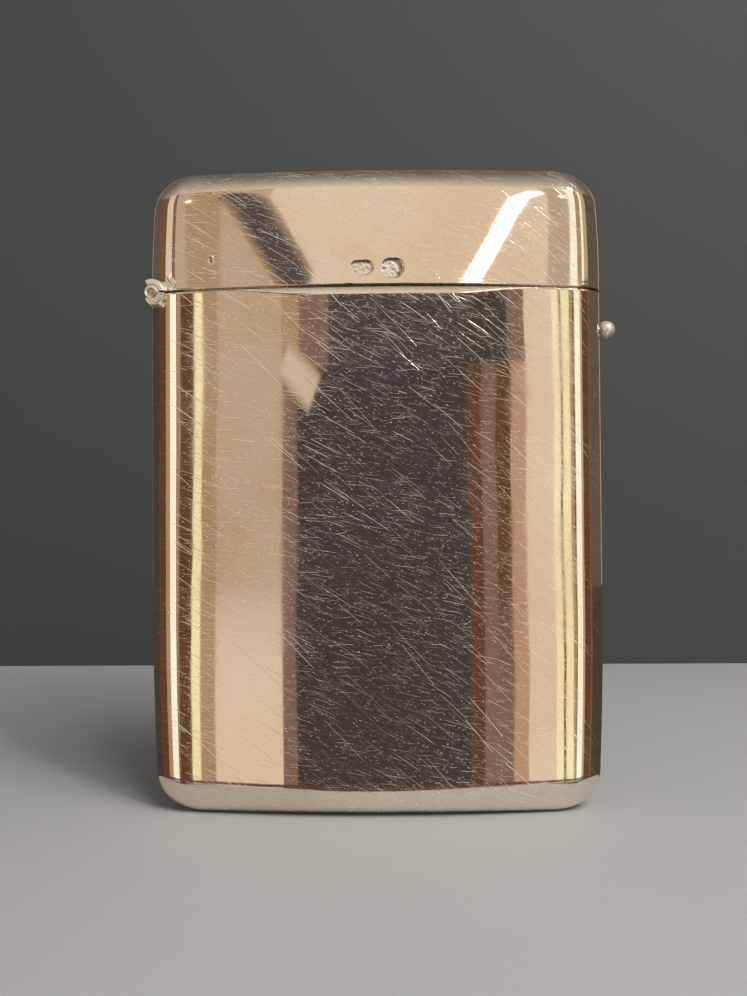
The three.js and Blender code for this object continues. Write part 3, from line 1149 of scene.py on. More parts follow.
    def bearer(self, owner: Body, material: bpy.types.Material) -> bpy.types.Object:
        """Bends a bearer round the barrel, with softly rounded edges.

        Args:
            owner: Whether it is the lid's or the body's.
            material: Its finish.

        Returns:
            The piece.
        """
        in_lid = owner is Body.LID
        bore = self.radius + self.groove_gap
        level = (self.form.lid_bottom if in_lid else self.form.body_top) - self.axis_point.z
        outer_edge = math.radians(180 - (self.lid_edge_deg if in_lid else self.body_edge_deg))
        start = math.asin(level / bore)
        end = outer_edge if in_lid else -outer_edge
        half, soft = self.length / 2, self.bead_round if in_lid else self.crescent_round
        bm = bmesh.new()
        points = self.rounded_run(-half, half, self.bearer_radius, soft) + [(half, bore), (-half, bore)]
        profile = bm.faces.new([bm.verts.new((out, along, 0)) for along, out in points])
        bmesh.ops.rotate(bm, cent=(0, 0, 0), matrix=Matrix.Rotation(-start, 3, "Y"), verts=bm.verts)
        made = bmesh.ops.extrude_face_region(bm, geom=[profile])
        loop = [item for item in made["geom"] if isinstance(item, bmesh.types.BMFace)]
        bmesh.ops.delete(bm, geom=[f for f in bm.faces if f not in loop], context="FACES")
        bm.normal_update()
        turn = end - start
        bmesh.ops.spin(
            bm, geom=list(bm.faces), cent=(0, 0, 0), axis=FRONTWARD, angle=turn, steps=self.bend_steps
        )
        bmesh.ops.holes_fill(bm, edges=[e for e in bm.edges if e.is_boundary], sides=0)
        bmesh.ops.remove_doubles(bm, verts=bm.verts, dist=TINY)
        bmesh.ops.recalc_face_normals(bm, faces=bm.faces)
        if not in_lid:
            self.file_down(bm, bore, -end)
        at_end = {v for v in bm.verts if abs(self.angle_of(v.co) - end) < 1e-4}
        tip = [e for e in bm.edges if at_end.issuperset(e.verts) and len(e.link_faces) == 2]
        round_off(bm, tip, self.tip_round, 5)
        bmesh.ops.translate(bm, vec=self.axis_point, verts=bm.verts)
        filing = self.bead_filing if in_lid else self.crescent_filing
        weigh(bm, "filed", lambda v: filing if abs(v.co.y) > half - 1.2 * soft else self.bearer_filing)
        name = "lid_bearer" if in_lid else "body_bearer"
        return finished_piece(name + "_bent", bm, material, owner, (name,), 50)

    def file_down(self, bm: bmesh.types.BMesh, bore: float, last: float) -> None:
        """Files the body bearer thinner towards its outer edge, from a quarter turn on.

        Args:
            bm: The bearer, round the origin.
            bore: Radius of its inside.
            last: Angle of its outer edge, downwards from the inside of the case.
        """
        for vert in bm.verts:
            out = math.hypot(vert.co.x, vert.co.z)
            share = smoothstep(math.radians(90), last, -self.angle_of(vert.co))
            limit = self.bearer_radius + (self.filed_edge - self.bearer_radius) * share
            if out > bore + 0.05 * MM:
                outer_share = (out - bore) / (self.bearer_radius - bore)
                factor = 1 - (1 - limit / self.bearer_radius) * outer_share
                vert.co.x *= factor
                vert.co.z *= factor

    @staticmethod
    def angle_of(place: Vector) -> float:
        """Angle of a place round the axis, from the inside of the case upwards."""
        return math.atan2(place.z, place.x)

    def solder_pips(self, material: bpy.types.Material) -> None:
        """Makes the small drops of solder on the body beside the barrel.

        Args:
            material: Their finish.
        """
        for number, (place, radius) in enumerate(self.pips, 1):
            bm = bmesh.new()
            bmesh.ops.create_icosphere(bm, subdivisions=4, radius=radius * MM)
            bmesh.ops.scale(bm, vec=self.pip_form, verts=bm.verts)
            bmesh.ops.translate(bm, vec=Vector(place) * MM, verts=bm.verts)
            finished_piece(f"solder_pip_{number}", bm, material, Body.CASE)

    def build(self, polished: bpy.types.Material, dull: bpy.types.Material) -> None:
        """Makes the knuckles, the pin, the bearers and the solder beside them.

        Args:
            polished: Finish of the knuckles and the bearers.
            dull: Finish of the pin.
        """
        for index in range(self.count):
            self.knuckle(index, polished)
        self.pin(dull)
        self.bearer(Body.LID, polished)
        self.bearer(Body.CASE, polished)
        self.solder_pips(polished)


@dataclass
class Catch:
    """Ball-headed button of the catch.

    Attributes:
        form: Form of the shut case.
        ball_radius: Radius of the ball.
        stem_radius: Radius of the stem.
        shank_radius: Radius of the shank behind the stem.
        hole_gap: Gap between the ball and its hole.
        burr_bevel: Width of the bevel round the burred end.
        burr_width: How far the burred end stands out round the shank.
        burr_gap: Gap between the burred end and its washer.
        shoulder: Place of the shoulder that rests on the spring.
        knocks: Depth of the knocks in the ball.
        knock_size: Breadth of the knocks.
        filing: Strength of the wear on it.
        ball_steps: Steps from the ball's stem to its pole.
    """

    form: CaseForm
    ball_radius: float = 1.24 * MM
    stem_radius: float = 0.62 * MM
    shank_radius: float = 0.4 * MM
    hole_gap: float = 0.1 * MM
    burr_bevel: float = 0.11 * MM
    burr_width: float = 0.25 * MM
    burr_gap: float = 0.04 * MM
    shoulder: float = 29.86 * MM
    knocks: float = 0.06 * MM
    knock_size: float = 0.5 * MM
    filing: float = 1.6
    ball_steps: int = 48

    @property
    def ball_centre(self) -> Vector:
        """Middle of the ball, from the node's box."""
        low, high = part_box("push_button")
        return Vector((high[0] - self.ball_radius, 0, (low[2] + high[2]) / 2))

    def hole(self) -> bmesh.types.BMesh:
        """Bar that cuts the ball's hole."""
        start = Vector((self.form.half_width, 0, self.ball_centre.z))
        return bar(self.ball_radius + self.hole_gap, RIGHTWARD, start, 4 * self.ball_radius)

    def button(self, material: bpy.types.Material) -> bpy.types.Object:
        """Turns the ball and its stem in one piece.

        Args:
            material: Its finish.

        Returns:
            The piece.
        """
        low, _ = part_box("push_button")
        washer_low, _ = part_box("button_washer")
        centre = self.ball_centre
        inner = low[0] - centre.x
        burr_outer = washer_low[0] - centre.x - self.burr_gap
        shoulder = self.shoulder - centre.x
        head = self.shank_radius + self.burr_width
        profile = [
            (inner, 0),
            (inner, head - self.burr_bevel),
            (inner + self.burr_bevel, head),
            (burr_outer, head),
            (burr_outer, self.shank_radius),
            (shoulder, self.shank_radius),
            (shoulder, self.stem_radius),
        ]
        join = math.asin(self.stem_radius / self.ball_radius)
        for i in range(self.ball_steps):
            angle = join + (math.pi - join) * i / self.ball_steps
            profile.append((-self.ball_radius * math.cos(angle), self.ball_radius * math.sin(angle)))
        profile.append((self.ball_radius, 0))
        bm = turned(profile, RIGHTWARD, centre)
        for vert in bm.verts:
            if vert.co.x > self.form.half_width:
                depth = self.knocks * (0.5 + 0.5 * noise.noise(vert.co / self.knock_size))
                vert.co -= (vert.co - centre).normalized() * depth
        weigh(bm, "filed", lambda vert: self.filing)
        return finished_piece(
            "ball_button", bm, material, Body.BUTTON, ("push_button",), 40
        )


@dataclass
class Collar:
    """Liner that stands in the mouth of the body.

    Attributes:
        form: Form of the shut case.
        fit: Gap between the liner and the sheet.
        sheet: Thickness of the liner.
        edge: Rounding of its edges.
        bearer_radius: Radius of the bearers that it is cut away for.
        hinge_reach: How far from the hinge's axis it is cut away.
        barrel_length: Length of the barrel and of the bearers.
        slot_half: Half of the width of the slot for the catch.
        fineness: Numbers of steps.
    """

    form: CaseForm
    fit: float = 0.12 * MM
    sheet: float = 0.5 * MM
    edge: float = 0.12 * MM
    bearer_radius: float = 1.85 * MM
    hinge_reach: float = 4.3 * MM
    barrel_length: float = 6.8 * MM
    slot_half: float = 1.91 * MM
    fineness: Fineness = Fineness(side=12, shoulder=12, face=40)

    def build(self, hinge_axis: Vector, material: bpy.types.Material) -> bpy.types.Object:
        """Makes the liner, cut away for the hinge and for the catch.

        Args:
            hinge_axis: A point on the hinge's axis.
            material: Its finish.

        Returns:
            The piece.
        """
        low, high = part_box("mouth_collar")
        inset = self.form.sheet + self.fit
        section = self.form.section(self.form.seam, inset)
        levels = (low[2], (low[2] + high[2]) / 2, high[2])
        bm = bmesh.new()
        for half in Half:
            side, _ = lofted([section.outline(level, half, self.fineness) for level in levels])
            add_in(bm, side)
        bmesh.ops.remove_doubles(bm, verts=bm.verts, dist=10 * TINY)
        bmesh.ops.recalc_face_normals(bm, faces=bm.faces)
        outside = max(bm.faces, key=lambda f: f.calc_center_median().x)
        if outside.normal.x < 0:
            bmesh.ops.reverse_faces(bm, faces=bm.faces)
        bmesh.ops.solidify(bm, geom=bm.faces, thickness=self.sheet)
        bmesh.ops.recalc_face_normals(bm, faces=bm.faces)
        rims = [
            e
            for e in bm.edges
            if len(e.link_faces) == 2
            and e.calc_face_angle() > math.radians(60)
            and abs(e.verts[0].co.z - e.verts[1].co.z) < NEAR
        ]
        round_off(bm, rims, self.edge, 3)
        wide = 4 * self.form.half_width
        half_cut = self.barrel_length / 2 + self.fit
        foot = self.form.seam - self.bearer_radius - self.fit
        hinge_cut = slab(
            Vector((-wide, -half_cut, foot)), Vector((hinge_axis.x + self.hinge_reach, half_cut, wide))
        )
        catch_slot = slab(Vector((0, -self.slot_half, -wide)), Vector((wide, self.slot_half, wide)))
        bm = cut_away(bm, [hinge_cut, catch_slot])
        return finished_piece(
            "mouth_liner", bm, material, Body.CASE, ("mouth_collar",), 40
        )


class NodeGraph:
    """Small helper that adds and joins shader nodes.

    Attributes:
        tree: The node tree that it writes to.
    """

    def __init__(self, tree: bpy.types.NodeTree) -> None:
        """Starts on an empty tree."""
        self.tree = tree
        tree.nodes.clear()

    @classmethod
    def of_material(cls, name: str) -> tuple[bpy.types.Material, "NodeGraph"]:
        """Starts a material of a name, with an empty tree."""
        material = bpy.data.materials.new(name)
        material.use_nodes = True
        return material, cls(material.node_tree)

    def show(self, shader: bpy.types.Node) -> None:
        """Joins a shader to the output of a material."""
        self.link(shader.outputs[0], self.add("OutputMaterial").inputs["Surface"])

    def add(self, kind: str, **values: object) -> bpy.types.Node:
        """Adds a node.

        Args:
            kind: Its type, without the ShaderNode in front.
            **values: Properties, and inputs by name with spaces as underscores.

        Returns:
            The node.
        """
        full = kind if kind.startswith("NodeGroup") else "ShaderNode" + kind
        node = self.tree.nodes.new(full)
        for key, value in values.items():
            if hasattr(node, key):
                setattr(node, key, value)
            else:
                self.feed(node.inputs[key.replace("_", " ")], value)
        return node

    def math(self, operation: str, first: object, second: object = None, third: object = None) -> object:
        """Adds a math node and gives its output.

        Args:
            operation: Name of the operation.
            first: Socket or number.
            second: Socket or number.
            third: Socket or number.

        Returns:
            The output socket.
        """
        node = self.tree.nodes.new("ShaderNodeMath")
        node.operation = operation
        for socket, value in zip(node.inputs, (first, second, third)):
            self.feed(socket, value)
        return node.outputs[0]

    def ramp(self, value: object, low: object, high: object, start: float = 0, end: float = 1) -> object:
        """Maps a range onto another smoothly, without going past its ends.

        Args:
            value: Socket to map.
            low: Value that gives the start.
            high: Value that gives the end.
            start: Result at the low value.
            end: Result at the high value.

        Returns:
            The output socket.
        """
        node = self.tree.nodes.new("ShaderNodeMapRange")
        node.interpolation_type = "SMOOTHSTEP"
        names = ("Value", "From Min", "From Max", "To Min", "To Max")
        for name, item in zip(names, (value, low, high, start, end)):
            self.feed(node.inputs[name], item)
        return node.outputs[0]

    def blend(self, share: object, first: object, second: object) -> object:
        """Mixes two colours and gives the output.

        Args:
            share: Share of the second colour.
            first: Socket or colour.
            second: Socket or colour.

        Returns:
            The output socket.
        """
        node = self.tree.nodes.new("ShaderNodeMix")
        node.data_type = "RGBA"
        self.feed(node.inputs[0], share)
        for socket, colour in ((node.inputs[6], first), (node.inputs[7], second)):
            self.feed(socket, colour if isinstance(colour, bpy.types.NodeSocket) else (*colour, 1))
        return node.outputs[2]

    def noise(self, vector: object, size: float, detail: float = 3, roughness: float = 0.5) -> object:
        """Adds a noise texture and gives its value.

        Args:
            vector: Socket of the coordinates.
            size: Breadth of its largest features.
            detail: Number of finer layers.
            roughness: Strength of the finer layers.

        Returns:
            The output socket.
        """
        node = self.add("TexNoise", Vector=vector, Scale=1 / size, Detail=detail, Roughness=roughness)
        return node.outputs[0]

    def highest(self, sockets: list[bpy.types.NodeSocket]) -> bpy.types.NodeSocket:
        """Gives the highest of some values."""
        most = sockets[0]
        for socket in sockets[1:]:
            most = self.math("MAXIMUM", most, socket)
        return most

    def feed(self, socket: bpy.types.NodeSocket, value: object) -> None:
        """Sets a socket from a number, or links it."""
        if value is None:
            return
        if isinstance(value, bpy.types.NodeSocket):
            self.tree.links.new(value, socket)
        else:
            socket.default_value = value

    def link(self, source: bpy.types.NodeSocket, target: bpy.types.NodeSocket) -> None:
        """Joins an output to an input."""
        self.tree.links.new(source, target)


def mask_group(
    name: str, numbers: tuple[str, ...]
) -> tuple[bpy.types.NodeTree, NodeGraph, object, bpy.types.NodeSocket]:
    """Starts a node group that makes a mask from coordinates and some numbers.

    Args:
        name: Name of the group.
        numbers: Names of its number inputs.

    Returns:
        The group, its graph, its inputs and its Mask output.
    """
    group = bpy.data.node_groups.new(name, "ShaderNodeTree")
    group.interface.new_socket("Vector", in_out="INPUT", socket_type="NodeSocketVector")
    for number in numbers:
        group.interface.new_socket(number, in_out="INPUT", socket_type="NodeSocketFloat")
    group.interface.new_socket("Mask", in_out="OUTPUT", socket_type="NodeSocketFloat")
    graph = NodeGraph(group)
    source = graph.add("NodeGroupInput").outputs
    return group, graph, source, graph.add("NodeGroupOutput").inputs["Mask"]


def hairline_group() -> bpy.types.NodeTree:
    """Builds the node group that draws short scratches along the faces.

    Each cell of a stretched pattern holds one stroke through its middle, turned and bowed a
    little at random and fading at both ends.

    Returns:
        The group, with a Mask output.
    """
    numbers = ("Angle", "Length", "Pitch", "Width", "Share", "Spread", "Seed")
    group, graph, source, sink = mask_group("hairlines", numbers)
    back_shift, lean, most_bow = 0.21, 0.5, 8.0
    thinnest, thickness_range = 0.4, 0.8
    shortest, length_range = 0.1, 0.35
    faintest, strength_range, strength_power, reshuffle = 0.15, 0.85, 1.3, 37.3
    place = graph.add("SeparateXYZ", Vector=source["Vector"]).outputs
    side = graph.math("MULTIPLY_ADD", graph.math("SIGN", place["Y"]), back_shift, source["Seed"])
    level = graph.math("ADD", graph.math("ADD", place["X"], place["Y"]), side)
    upright = graph.math("MULTIPLY_ADD", place["Y"], lean, place["Z"])
    cosine, sine = graph.math("COSINE", source["Angle"]), graph.math("SINE", source["Angle"])
    along = graph.math("MULTIPLY_ADD", upright, sine, graph.math("MULTIPLY", level, cosine))
    raised = graph.math("MULTIPLY", upright, cosine)
    across = graph.math("SUBTRACT", raised, graph.math("MULTIPLY", level, sine))
    cell = graph.add(
        "CombineXYZ",
        X=graph.math("DIVIDE", along, source["Length"]),
        Y=graph.math("DIVIDE", across, source["Pitch"]),
    ).outputs[0]
    cells = graph.add("TexVoronoi", voronoi_dimensions="2D", feature="F1", Vector=cell, Scale=1)
    middle = graph.add("SeparateXYZ", Vector=cells.outputs["Position"]).outputs
    here = graph.add("SeparateXYZ", Vector=cell).outputs
    run = graph.math("MULTIPLY", graph.math("SUBTRACT", here["X"], middle["X"]), source["Length"])
    off = graph.math("MULTIPLY", graph.math("SUBTRACT", here["Y"], middle["Y"]), source["Pitch"])
    chance = graph.add("SeparateColor", Color=cells.outputs["Color"]).outputs
    tilt = graph.math("MULTIPLY", graph.math("SUBTRACT", chance[0], 0.5), source["Spread"])
    bow = graph.math("MULTIPLY", graph.math("SUBTRACT", chance[1], 0.5), most_bow)
    bent = graph.math("MULTIPLY_ADD", graph.math("MULTIPLY", run, run), bow, off)
    stray = graph.math("MULTIPLY_ADD", run, tilt, bent)
    thickness = graph.math("MULTIPLY_ADD", chance[1], thickness_range, thinnest)
    thin = graph.math("MULTIPLY", source["Width"], thickness)
    body = graph.ramp(graph.math("ABSOLUTE", stray), 0, thin, 1, 0)
    length = graph.math("MULTIPLY_ADD", chance[0], length_range, shortest)
    reach = graph.math("MULTIPLY", source["Length"], length)
    ends = graph.ramp(graph.math("ABSOLUTE", run), graph.math("MULTIPLY", reach, 0.5), reach, 1, 0)
    chosen = graph.math("LESS_THAN", chance[2], source["Share"])
    drawn = graph.math("FRACT", graph.math("MULTIPLY", chance[2], reshuffle))
    strength = graph.math("POWER", drawn, strength_power)
    strength = graph.math("MULTIPLY_ADD", strength, strength_range, faintest)
    stroke = graph.math("MULTIPLY", body, ends)
    graph.link(graph.math("MULTIPLY", stroke, graph.math("MULTIPLY", chosen, strength)), sink)
    return group


def smear_group() -> bpy.types.NodeTree:
    """Builds the node group for the uneven haze that handling leaves on metal.

    Returns:
        The group, with a Mask output from 0 where it is clean to 1.
    """
    group, graph, source, sink = mask_group("smears", ("Size",))
    place, times_finer, broad_share, fine_share = source["Vector"], 7, 0.8, 0.35
    scale = graph.math("DIVIDE", 1, source["Size"])
    fine_scale = graph.math("MULTIPLY", scale, times_finer)
    broad = graph.add("TexNoise", Vector=place, Scale=scale, Detail=4, Roughness=0.6, Distortion=0.6)
    fine = graph.add("TexNoise", Vector=place, Scale=fine_scale, Detail=2)
    base = graph.math("MULTIPLY", broad.outputs[0], broad_share)
    both = graph.math("MULTIPLY_ADD", fine.outputs[0], fine_share, base)
    graph.link(graph.ramp(both, 0.42, 0.78), sink)
    return group


@dataclass(frozen=True)
class Scratches:
    """One family of hairlines.

    Attributes:
        angle_deg: Direction in the plane of the face.
        length: Length of a cell, which holds one stroke.
        pitch: Distance from stroke to stroke.
        width: Half of the width of a stroke.
        share: Share of the places that hold one.
        spread: Slope by which directions differ.
        weight: Strength of the family.
        deep: Whether its strokes are cut deep enough to bend reflections.
    """

    angle_deg: float
    length: float
    pitch: float
    width: float
    share: float
    spread: float
    weight: float
    deep: bool = False


@dataclass(frozen=True)
class Silver:
    """Warm silver with its polish, smears, hairlines, and painted shade at the seam, the bores and the
    marks.

    Attributes:
        name: Name of the material.
        light_tone: Colour where it is cleanest.
        deep_tone: Colour where it has toned.
        painted_shade_and_stain_tone: Colour of the painted shade at the seam, the bores and the marks'
            edges, and of a darkened mark floor.
        filed_tone: Colour where it was filed.
        scratch_tone: Colour inside a hairline.
        roughness: Roughness of the polish.
        haze: Extra roughness where it is smeared.
        filed_roughness: Extra roughness where it was filed or knocked.
        scratch_roughness: Extra roughness inside a hairline.
        scratch_depth: Depth of the deeper hairlines.
        scratch_scatter: Share of the light that a hairline scatters all round.
        filed_scatter: Share that filed metal scatters.
        hollow_roughness: Extra roughness where the painted shade and the darkened floor lie.
        toning_size: Breadth of the areas that have toned.
        shade_and_stain_size: Breadth of the unevenness in the painted shade and the darkened floor.
        patch_size: Breadth of the areas with more or fewer hairlines.
        fewest: Share of the hairlines' strength where there are fewest.
        smear_size: Breadth of the smears.
        side_start: Distance from the middle at which the hairlines begin to fade.
        side_end: Distance from the middle at which they have faded.
        side_share: Share of their strength that they keep on the narrow sides.
        families: Families of hairlines.
    """

    name: str
    light_tone: tuple[float, float, float] = (0.93, 0.85, 0.73)
    deep_tone: tuple[float, float, float] = (0.87, 0.76, 0.61)
    painted_shade_and_stain_tone: tuple[float, float, float] = (0.2, 0.13, 0.08)
    filed_tone: tuple[float, float, float] = (0.97, 0.9, 0.79)
    scratch_tone: tuple[float, float, float] = (0.98, 0.95, 0.9)
    roughness: float = 0.025
    haze: float = 0.045
    filed_roughness: float = 0.2
    scratch_roughness: float = 0.25
    scratch_depth: float = 0.006 * MM
    scratch_scatter: float = 1.0
    filed_scatter: float = 0.16
    hollow_roughness: float = 0.3
    toning_size: float = 18 * MM
    shade_and_stain_size: float = 0.5 * MM
    patch_size: float = 12 * MM
    fewest: float = 0.65
    smear_size: float = 9 * MM
    side_start: float = 24 * MM
    side_end: float = 30 * MM
    side_share: float = 0.3
    families: tuple[Scratches, ...] = (
        Scratches(-31, 10 * MM, 0.7 * MM, 0.034 * MM, 0.85, 0.5, 1.0, deep=True),
        Scratches(-24, 6 * MM, 0.36 * MM, 0.026 * MM, 0.85, 0.6, 0.8),
        Scratches(-39, 14 * MM, 1.3 * MM, 0.036 * MM, 0.7, 0.4, 1.0, deep=True),
        Scratches(-28, 3.5 * MM, 0.22 * MM, 0.018 * MM, 0.9, 0.8, 0.6),
        Scratches(-4, 6 * MM, 0.36 * MM, 0.03 * MM, 0.85, 0.35, 1.0),
        Scratches(34, 4 * MM, 1.2 * MM, 0.028 * MM, 0.4, 1.2, 0.6),
        Scratches(75, 3 * MM, 1.4 * MM, 0.026 * MM, 0.35, 1.5, 0.5),
        Scratches(-12, 0.6 * MM, 0.34 * MM, 0.05 * MM, 0.5, 1.0, 1.0),
    )

    def strokes(
        self, graph: NodeGraph, place: bpy.types.NodeSocket, hairlines: bpy.types.NodeTree
    ) -> tuple[bpy.types.NodeSocket, bpy.types.NodeSocket]:
        """Draws all families of hairlines.

        Args:
            graph: The material's graph.
            place: Coordinates on the piece.
            hairlines: The shared hairline group.

        Returns:
            The mask of all hairlines, weaker in patches and on the sides, and that of the deep ones.
        """
        masks, deep = [], []
        for number, family in enumerate(self.families):
            lines = graph.add(
                "Group",
                node_tree=hairlines,
                Vector=place,
                Angle=math.radians(family.angle_deg),
                Length=family.length,
                Pitch=family.pitch,
                Width=family.width,
                Share=family.share,
                Spread=family.spread,
                Seed=0.31 * number,
            )
            masks.append(graph.math("MULTIPLY", lines.outputs["Mask"], family.weight))
            if family.deep:
                deep.append(masks[-1])
        patchy = graph.ramp(graph.noise(place, self.patch_size, 3), 0.3, 0.65, self.fewest, 1.0)
        across = graph.math("ABSOLUTE", graph.add("SeparateXYZ", Vector=place).outputs["X"])
        sides = graph.ramp(across, self.side_start, self.side_end, 1, self.side_share)
        total = graph.math("MULTIPLY", graph.highest(masks), graph.math("MULTIPLY", patchy, sides))
        return total, graph.highest(deep)

    def build(self, hairlines: bpy.types.NodeTree, smears: bpy.types.NodeTree) -> bpy.types.Material:
        """Builds the material.

        Args:
            hairlines: The shared hairline group.
            smears: The shared group of smears.

        Returns:
            The material.
        """
        material, graph = NodeGraph.of_material(self.name)
        place = graph.add("TexCoord").outputs["Object"]
        shader = graph.add("BsdfPrincipled", Specular_IOR_Level=0.3)
        graph.show(shader)
        tone = graph.ramp(graph.noise(place, self.toning_size, 4), 0.35, 0.65)
        clean = graph.blend(tone, self.deep_tone, self.light_tone)
        # Painted shade at the seam, the bores and the marks' edges, with a darkened mark floor, read from
        # the tarnish attribute.
        tarnish = graph.add("Attribute", attribute_name="tarnish").outputs["Fac"]
        uneven = graph.ramp(graph.noise(place, self.shade_and_stain_size, 3, 0.7), 0.25, 0.75, 0.6, 1.2)
        dark = graph.math("MULTIPLY", tarnish, uneven)
        total, deep = self.strokes(graph, place, hairlines)
        filed = graph.add("Attribute", attribute_name="filed").outputs["Fac"]
        bare = graph.blend(graph.math("MINIMUM", filed, 1.0), clean, self.filed_tone)
        cut = graph.blend(total, bare, self.scratch_tone)
        graph.feed(shader.inputs["Base Color"], graph.blend(dark, cut, self.painted_shade_and_stain_tone))
        scratch_scatter = graph.math("MULTIPLY", total, self.scratch_scatter)
        filed_scatter = graph.math("MULTIPLY", filed, self.filed_scatter)
        scatter = graph.math("MAXIMUM", scratch_scatter, filed_scatter)
        graph.feed(shader.inputs["Metallic"], graph.math("SUBTRACT", 1.0, scatter))
        smear = graph.add("Group", node_tree=smears, Vector=place, Size=self.smear_size).outputs["Mask"]
        base = graph.math("MULTIPLY_ADD", smear, self.haze, self.roughness)
        matt = graph.math("MULTIPLY_ADD", filed, self.filed_roughness, base)
        hollow = graph.math("MULTIPLY_ADD", dark, self.hollow_roughness, matt)
        rough = graph.math("MULTIPLY_ADD", total, self.scratch_roughness, hollow)
        graph.feed(shader.inputs["Roughness"], rough)
        bump = graph.add("Bump", Strength=1.0, Distance=self.scratch_depth)
        graph.feed(bump.inputs["Height"], graph.math("MULTIPLY", deep, -1))
        graph.link(bump.outputs[0], shader.inputs["Normal"])
        return material


@dataclass(frozen=True)
class DullMetal:
    """Unpolished metal of the inner pieces, with grain and tarnish.

    Attributes:
        name: Name of the material.
        colour: Its colour.
        tarnish: Colour in its hollows.
        roughness: Its roughness.
        grain_size: Breadth of its grain.
        grain_depth: Depth of its grain.
        grain_roughness: Extra roughness of its grain.
        stain_size: Breadth of its stains.
        stain_share: Share of tarnish in a stain.
    """

    name: str
    colour: tuple[float, float, float]
    tarnish: tuple[float, float, float]
    roughness: float = 0.2
    grain_size: float = 1.1 * MM
    grain_depth: float = 0.01 * MM
    grain_roughness: float = 0.25
    stain_size: float = 2.5 * MM
    stain_share: float = 0.5

    def build(self, smears: bpy.types.NodeTree) -> bpy.types.Material:
        """Builds the material.

        Args:
            smears: The shared group of smears.

        Returns:
            The material.
        """
        material, graph = NodeGraph.of_material(self.name)
        place = graph.add("TexCoord").outputs["Object"]
        shader = graph.add("BsdfPrincipled", Metallic=1.0)
        graph.show(shader)
        grain = graph.noise(place, self.grain_size, 5)
        stain = graph.add("Group", node_tree=smears, Vector=place, Size=self.stain_size).outputs["Mask"]
        stained = graph.math("MULTIPLY", stain, self.stain_share)
        toned = graph.blend(grain, self.tarnish, self.colour)
        graph.feed(shader.inputs["Base Color"], graph.blend(stained, toned, self.tarnish))
        rough = graph.math("MULTIPLY_ADD", grain, self.grain_roughness, self.roughness)
        graph.feed(shader.inputs["Roughness"], rough)
        bump = graph.add("Bump", Distance=self.grain_depth, Height=grain)
        graph.link(bump.outputs[0], shader.inputs["Normal"])
        return material


class Tone(Enum):
    """Tones of the studio's reflected panels, as linear light."""

    MIST = (0.13, 0.115, 0.105)
    FOG = (0.62, 0.55, 0.48)
    PLUM = (0.072, 0.058, 0.062)
    SLOE = (0.058, 0.048, 0.05)
    SHADE = (0.06, 0.052, 0.045)
    DUSK = (0.11, 0.095, 0.08)
    UMBER = (0.12, 0.055, 0.028)
    BROWN = (0.18, 0.095, 0.055)
    CLAY = (0.22, 0.14, 0.115)
    TAN = (0.42, 0.29, 0.18)
    SAND = (0.52, 0.4, 0.3)
    ROSE = (0.5, 0.31, 0.22)
    BISQUE = (0.76, 0.62, 0.5)
    PARCHMENT = (0.8, 0.65, 0.54)
    STRAW = (1.0, 0.92, 0.62)
    CREAM = (1.1, 1.08, 0.95)
    WHITE = (1.5, 1.5, 1.5)


@dataclass(frozen=True)
class Strip:
    """Upright strip of the surround.

    Attributes:
        end_deg: Azimuth at which it ends, to the right of straight ahead.
        tone: Its tone.
        floor_tone: Tone of its foot on the floor, if it differs.
    """

    end_deg: float
    tone: Tone
    floor_tone: Tone | None = None


@dataclass(frozen=True)
class Tier:
    """Ring of strips between two heights.

    Attributes:
        low: Its lower edge.
        high: Its upper edge.
        strips: Strips from behind on the left, round the front, to behind on the right.
    """

    low: float
    high: float
    strips: tuple[Strip, ...]


FRONT_START_DEG = -84.0
FRONT_END_DEG = 72.0
LEFT_STRIPS = (
    Strip(-165, Tone.SHADE),
    Strip(-150, Tone.SAND),
    Strip(FRONT_START_DEG, Tone.SHADE),
    Strip(-64, Tone.UMBER),
    Strip(-53, Tone.TAN),
    Strip(-38, Tone.CREAM),
    Strip(-36.6, Tone.UMBER),
    Strip(-35.4, Tone.TAN),
    Strip(-32.7, Tone.UMBER),
    Strip(-31.2, Tone.STRAW),
    Strip(-28.6, Tone.TAN),
    Strip(-17, Tone.SAND, Tone.PARCHMENT),
)
RIGHT_STRIPS = (
    Strip(30.4, Tone.BISQUE),
    Strip(31.6, Tone.STRAW),
    Strip(32, Tone.BROWN),
    Strip(33.4, Tone.STRAW),
    Strip(34.3, Tone.TAN),
    Strip(34.9, Tone.BROWN),
    Strip(47, Tone.CREAM),
    Strip(52, Tone.SAND),
    Strip(67, Tone.UMBER),
    Strip(FRONT_END_DEG, Tone.BROWN),
    Strip(128, Tone.DUSK),
    Strip(142, Tone.SAND),
    Strip(160, Tone.BROWN),
    Strip(180, Tone.SHADE),
)
LOWER_TIER = Tier(
    -6 * MM,
    128 * MM,
    LEFT_STRIPS
    + (
        Strip(-14.5, Tone.CLAY),
        Strip(15.5, Tone.SLOE),
        Strip(18, Tone.UMBER),
        Strip(20.5, Tone.CLAY),
        Strip(23, Tone.UMBER, Tone.CLAY),
        Strip(25.6, Tone.ROSE),
    )
    + RIGHT_STRIPS,
)
MIDDLE_TIER = Tier(
    128 * MM,
    176 * MM,
    LEFT_STRIPS
    + (
        Strip(-14, Tone.TAN),
        Strip(-9, Tone.CLAY),
        Strip(15.5, Tone.PLUM),
        Strip(22.5, Tone.SHADE),
        Strip(25.6, Tone.CLAY),
    )
    + RIGHT_STRIPS,
)
